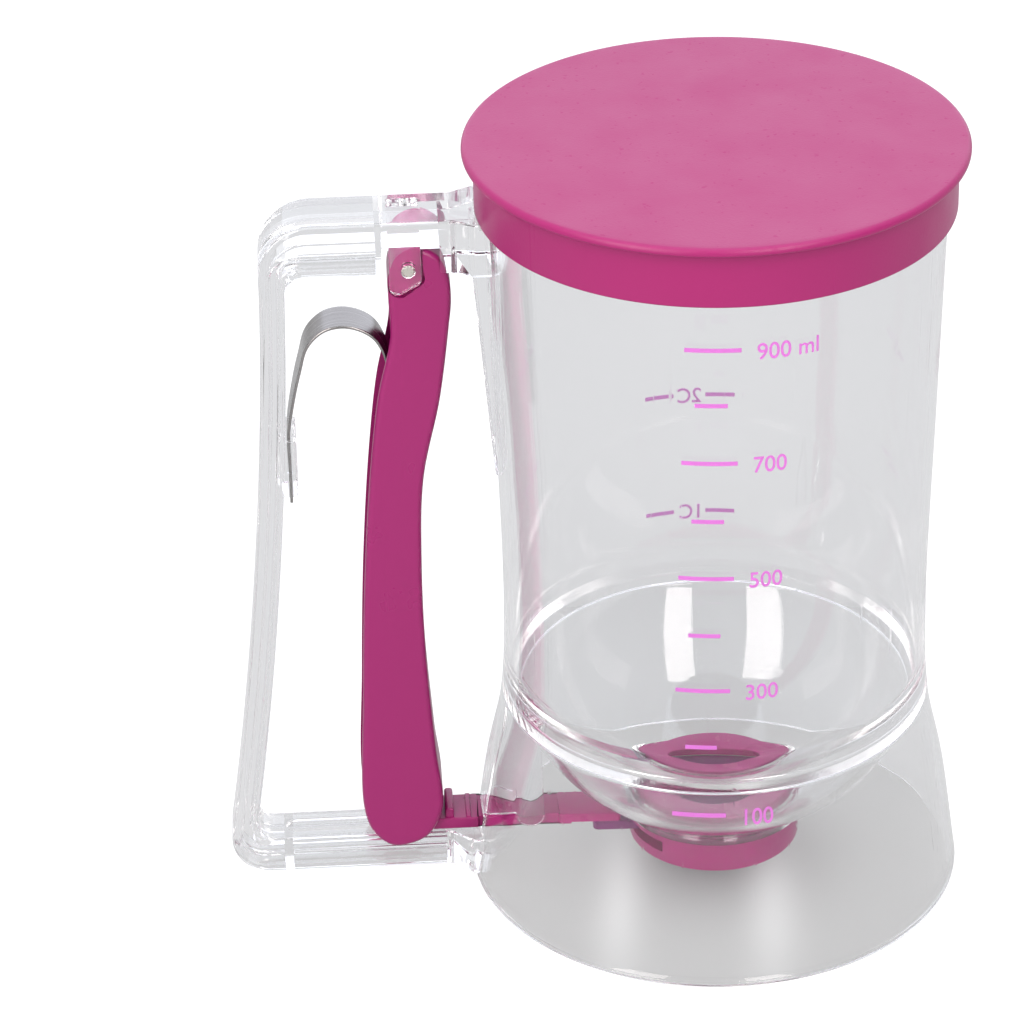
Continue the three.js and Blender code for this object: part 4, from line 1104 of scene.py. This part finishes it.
# --- Leaf spring ---
# Strip of stainless spring steel, bent to a hairpin. One leg sits in the clip on the grip and the other
# leans on the inside of the lever. It was rolled and slit, so its grain runs along it.
strip_half = 5.0
strip_thickness = 0.6
strip_round = 0.15
spring_shares = [
    [1, 0], [1, 0.2], [1, 0.375], [0.924, 0.61], [0.852, 0.764], [0.789, 0.878], [0.7, 0.942],
    [0.578, 0.986], [0.408, 1], [0.242, 0.977], [0.112, 0.928], [0.031, 0.855], [-0.009, 0.778]]
lever_leg = lever_reach + 0.6208 * lever_depth
loop_foot = 101.0
loop_top = 144.3
leg_end = float(np.interp(loop_foot, front_line[:, 1], front_line[:, 0])) + lever_wall + 0.2
leg_end = leg_end + strip_thickness / 2

spring_path = np.array(spring_shares) * (leg_reach - lever_leg, loop_top - loop_foot) + (lever_leg, loop_foot)
spring_path = smooth_line(np.vstack([spring_path, [[leg_end, loop_foot]]]), 22)
along = np.gradient(spring_path, axis=0)
along = along / np.linalg.norm(along, axis=1, keepdims=True)
off = np.stack([-along[:, 1], along[:, 0]], axis=1)
length = np.concatenate([[0], np.cumsum(np.linalg.norm(np.diff(spring_path, axis=0), axis=1))])
edge_arc = np.linspace(-np.pi / 2, np.pi / 2, 6)
right_edge = np.stack([
    strip_half - strip_round + strip_round * np.cos(edge_arc),
    strip_thickness / 2 * np.sin(edge_arc)], axis=1)
across_steps = np.linspace(strip_half - 0.5, -strip_half + 0.5, 8)
section = np.vstack([
    right_edge, np.stack([across_steps, np.full(8, strip_thickness / 2)], axis=1),
    -right_edge, np.stack([-across_steps, np.full(8, -strip_thickness / 2)], axis=1)])
strip_points = np.stack([
    spring_path[:, None, 0] + off[:, None, 0] * section[None, :, 1],
    np.broadcast_to(section[None, :, 0], (len(spring_path), len(section))),
    spring_path[:, None, 1] + off[:, None, 1] * section[None, :, 1]], axis=-1)
spring = solid("spring", strip_points.reshape(-1, 3), stack_faces(*strip_points.shape[:2]))
spring_vertices = np.zeros(len(spring.data.vertices) * 3)
spring.data.vertices.foreach_get("co", spring_vertices)
spring_vertices = spring_vertices.reshape(-1, 3)
flat_place = (spring_vertices - (jug_axis, 0, 0)) * (-1000, 1000, 1000)
nearest = np.argmin(
    (flat_place[:, None, 0] - spring_path[None, :, 0]) ** 2
    + (flat_place[:, None, 2] - spring_path[None, :, 1]) ** 2, axis=1)
rolled = spring.data.attributes.new("rolled", "FLOAT_VECTOR", "POINT")
rolled_place = np.stack([length[nearest] / 1000, flat_place[:, 1] / 1000, np.zeros(len(nearest))], axis=1)
rolled.data.foreach_set("vector", rolled_place.astype(np.float32).ravel())

strip_steel, strip_tree, strip_shader, strip_node = fresh_material("spring_steel_rolled")
strip_place = strip_node("ShaderNodeAttribute", attribute_name="rolled").outputs["Vector"]
strip_stretch = strip_node("ShaderNodeMapping", {"Vector": strip_place, "Scale": (18.0, 2600.0, 1.0)})
strip_lines = strip_node("ShaderNodeTexNoise", {
    "Vector": strip_stretch.outputs["Vector"], "Scale": 1.0, "Detail": 5.0, "Roughness": 0.7})
strip_shine = strip_node("ShaderNodeMapRange", {
    "Value": strip_lines.outputs["Fac"], "From Min": 0.25, "From Max": 0.75, "To Min": 0.16, "To Max": 0.32})
strip_tone = strip_node("ShaderNodeValToRGB", {"Fac": strip_lines.outputs["Fac"]})
for stop, position, colour in zip(
        strip_tone.color_ramp.elements, (0.3, 0.7), ((0.205, 0.196, 0.193, 1), (0.375, 0.362, 0.355, 1))):
    stop.position = position
    stop.color = colour
strip_skin = strip_node("ShaderNodeBump", {
    "Height": strip_lines.outputs["Fac"], "Strength": 0.35, "Distance": 0.00002})
plug(strip_tree, strip_shader, {
    "Base Color": strip_tone.outputs["Color"], "Metallic": 1.0, "Roughness": strip_shine.outputs["Result"],
    "Normal": strip_skin.outputs["Normal"]})
spring.data.materials.append(strip_steel)
spring.data.polygons.foreach_set("use_smooth", np.ones(len(spring.data.polygons), bool))
spring.data.set_sharp_from_angle(angle=math.radians(40))
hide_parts("leaf_spring")
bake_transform(spring)


# --- Lid ---
# Push-on cap in a lighter, satin magenta: a flat disc with a rounded brim, a skirt that slips over the rim
# and a plug ring inside that centres it.
lid_underside = 182.0
lid_top = 184.0
lid_skirt_inside = 51.2
lid_skirt_outside = 52.6
lid_radius = 55.1
lid_skirt_foot = 169.3
plug_foot = 177.0
plug_outside = wall_at(inner_wall, plug_foot) - 0.3
plug_inside = plug_outside - 1.4

lid_dip = 0.05
face_radius = 52.8
lid_face = np.stack([
    np.linspace(0, face_radius, 30), lid_top - lid_dip * np.cos(np.linspace(0, np.pi / 2, 30))], axis=1)
lid_profile = np.vstack([
    rounded([
        [0, lid_underside], [plug_inside, lid_underside], [plug_inside, plug_foot, 0.4],
        [plug_outside, plug_foot, 0.5],
        [plug_outside, lid_underside, 0.3], [lid_skirt_inside, lid_underside, 0.3],
        [lid_skirt_inside, lid_skirt_foot, 0.35], [lid_skirt_outside, lid_skirt_foot, 0.45],
        [lid_skirt_outside, lid_underside - 0.1, 0.9], [lid_radius, lid_underside + 0.05, 0.75],
        [lid_radius, lid_top, 1.15], [face_radius + 0.1, lid_top]], 7),
    lid_face[::-1]])
lid = turned("cap", lid_profile, 256)
lid_magenta = dyed_plastic(
    "lid_magenta_satin", (0.318, 0.0065, 0.117, 1), (0.330, 0.0078, 0.124, 1), 0.38, 1900.0, 0.00003)
finished(lid, "lid", "lid_magenta", lid_magenta, "lid", angle=40)


# --- Printed scale ---
# Lilac ink, screen-printed on the wall: a millilitre scale on the near side and a cup scale on the far
# side, which is read through the jug and so looks mirrored from here.
ink_height = 0.06
ink_clear = 0.03
near_turn = math.radians(90 - 6.0)
row_drift = 0.024
long_tick = 12.0
short_tick = 7.0
tick_width = 1.0
digit_height = 3.95
digit_narrow = 0.92
text_start = 9.2
text_drop = 0.5
scale_top = 158.3
far_dash = (3.9, 11.0)

ink, ink_tree, ink_shader, ink_tone = soft_grained(
    "lilac_ink_painted_glow", 2600.0, "Height", (0.62, 0.19, 0.58, 1), (0.68, 0.23, 0.64, 1), 0.3)
# The ink glows a little with its own colour: painted light that stands in for the light reaching it through
# the clear wall.
plug(ink_tree, ink_shader, {
    "Roughness": 0.9, "Emission Color": ink_tone, "Emission Strength": 0.2, "Transmission Weight": 0.5,
    "IOR": 1.2})


def wrapped(flat, height, turn):
    """Bends flat artwork round the wall: its x becomes an angle (arc length over radius), its y a height,
    and its z a distance off the wall."""
    rise = height + flat[:, 1]
    radius = wall_at(wall_line, rise) + ink_clear + flat[:, 2]
    angle_of = turn + flat[:, 0] / radius
    return np.stack([radius * np.cos(angle_of), -radius * np.sin(angle_of), rise], axis=1)


def ink_strip(start, end, rise_start, rise_end, width, steps=16):
    """A printed dash: a thin bar from (start, rise_start) to (end, rise_end) on the flat artwork."""
    t = np.linspace(0, 1, steps + 1)
    x = start + (end - start) * t
    y = rise_start + (rise_end - rise_start) * t
    half = width / 2
    ring = np.stack([
        np.stack([x, y - half, np.zeros_like(x)], axis=1), np.stack([x, y + half, np.zeros_like(x)], axis=1),
        np.stack([x, y + half, np.full_like(x, ink_height)], axis=1),
        np.stack([x, y - half, np.full_like(x, ink_height)], axis=1)], axis=1)
    return ring.reshape(-1, 3), stack_faces(steps + 1, 4)


def lettering(words, size, squeeze_share):
    """Flat artwork of a word in Blender's own typeface, scaled to a capital height and narrowed, as a thin
    solid."""
    curve = bpy.data.curves.new(words, "FONT")
    curve.body = words
    curve.size = 1.0
    curve.extrude = 0.02
    curve.offset = 0.008
    letters = bpy.data.objects.new(words, curve)
    bpy.context.scene.collection.objects.link(letters)
    bpy.context.view_layer.update()
    mesh = bpy.data.meshes.new_from_object(letters.evaluated_get(bpy.context.evaluated_depsgraph_get()))
    bpy.data.objects.remove(letters)
    work = bmesh.new()
    work.from_mesh(mesh)
    bmesh.ops.remove_doubles(work, verts=work.verts, dist=1e-5)
    work.to_mesh(mesh)
    work.free()
    co = np.zeros(len(mesh.vertices) * 3)
    mesh.vertices.foreach_get("co", co)
    co = co.reshape(-1, 3)
    scale = size / 0.72
    co = co * (scale * squeeze_share, scale, 1.0)
    co[:, 2] = np.where(co[:, 2] > 0, ink_height, 0.0)
    faces = [list(face.vertices) for face in mesh.polygons]
    bpy.data.meshes.remove(mesh)
    return co, faces


def printed(name, pieces):
    """Joins several pieces of bent artwork into one object."""
    points, faces, first = [], [], 0
    for some_points, some_faces in pieces:
        points.append(some_points)
        faces.extend([[index + first for index in face] for face in some_faces])
        first += len(some_points)
    return solid(name, np.vstack(points), faces)


near_scale = []
for marked, height in ((900, scale_top), (800, 145.0), (700, 130.9), (600, 116.5), (500, 102.1),
                       (400, 87.5), (300, 73.3), (200, 58.8), (100, 41.8)):
    long_one = marked in (900, 700, 500, 300, 100)
    half_length = (long_tick if long_one else short_tick) / 2
    drift = row_drift * (height - scale_top)
    points, faces = ink_strip(drift - half_length, drift + half_length, 0, 0, tick_width)
    near_scale.append((wrapped(points, height, near_turn), faces))
    if long_one:
        words = "900 ml" if marked == 900 else str(marked)
        points, faces = lettering(words, digit_height, digit_narrow)
        points = points + (text_start + drift, -digit_height / 2 - text_drop, 0)
        near_scale.append((wrapped(points, height, near_turn), faces))
scale_near = printed("scale_near", near_scale)
finished(scale_near, "jug", None, ink)

far_scale = []
far_turn = math.radians(-90 + 1.8)
for cups, height in (("3C", 132.0), ("2C", 96.0), ("1C", 64.8)):
    for start, end in ((-far_dash[1], -far_dash[0]), far_dash):
        points, faces = ink_strip(start, end, 0, 0, tick_width)
        far_scale.append((wrapped(points, height, far_turn), faces))
    points, faces = lettering(cups, digit_height, digit_narrow)
    points = points - ((points[:, 0].max() + points[:, 0].min()) / 2, digit_height / 2, 0)
    far_scale.append((wrapped(points, height, far_turn), faces))
scale_far = printed("scale_far", far_scale)
finished(scale_far, "jug", None, ink)
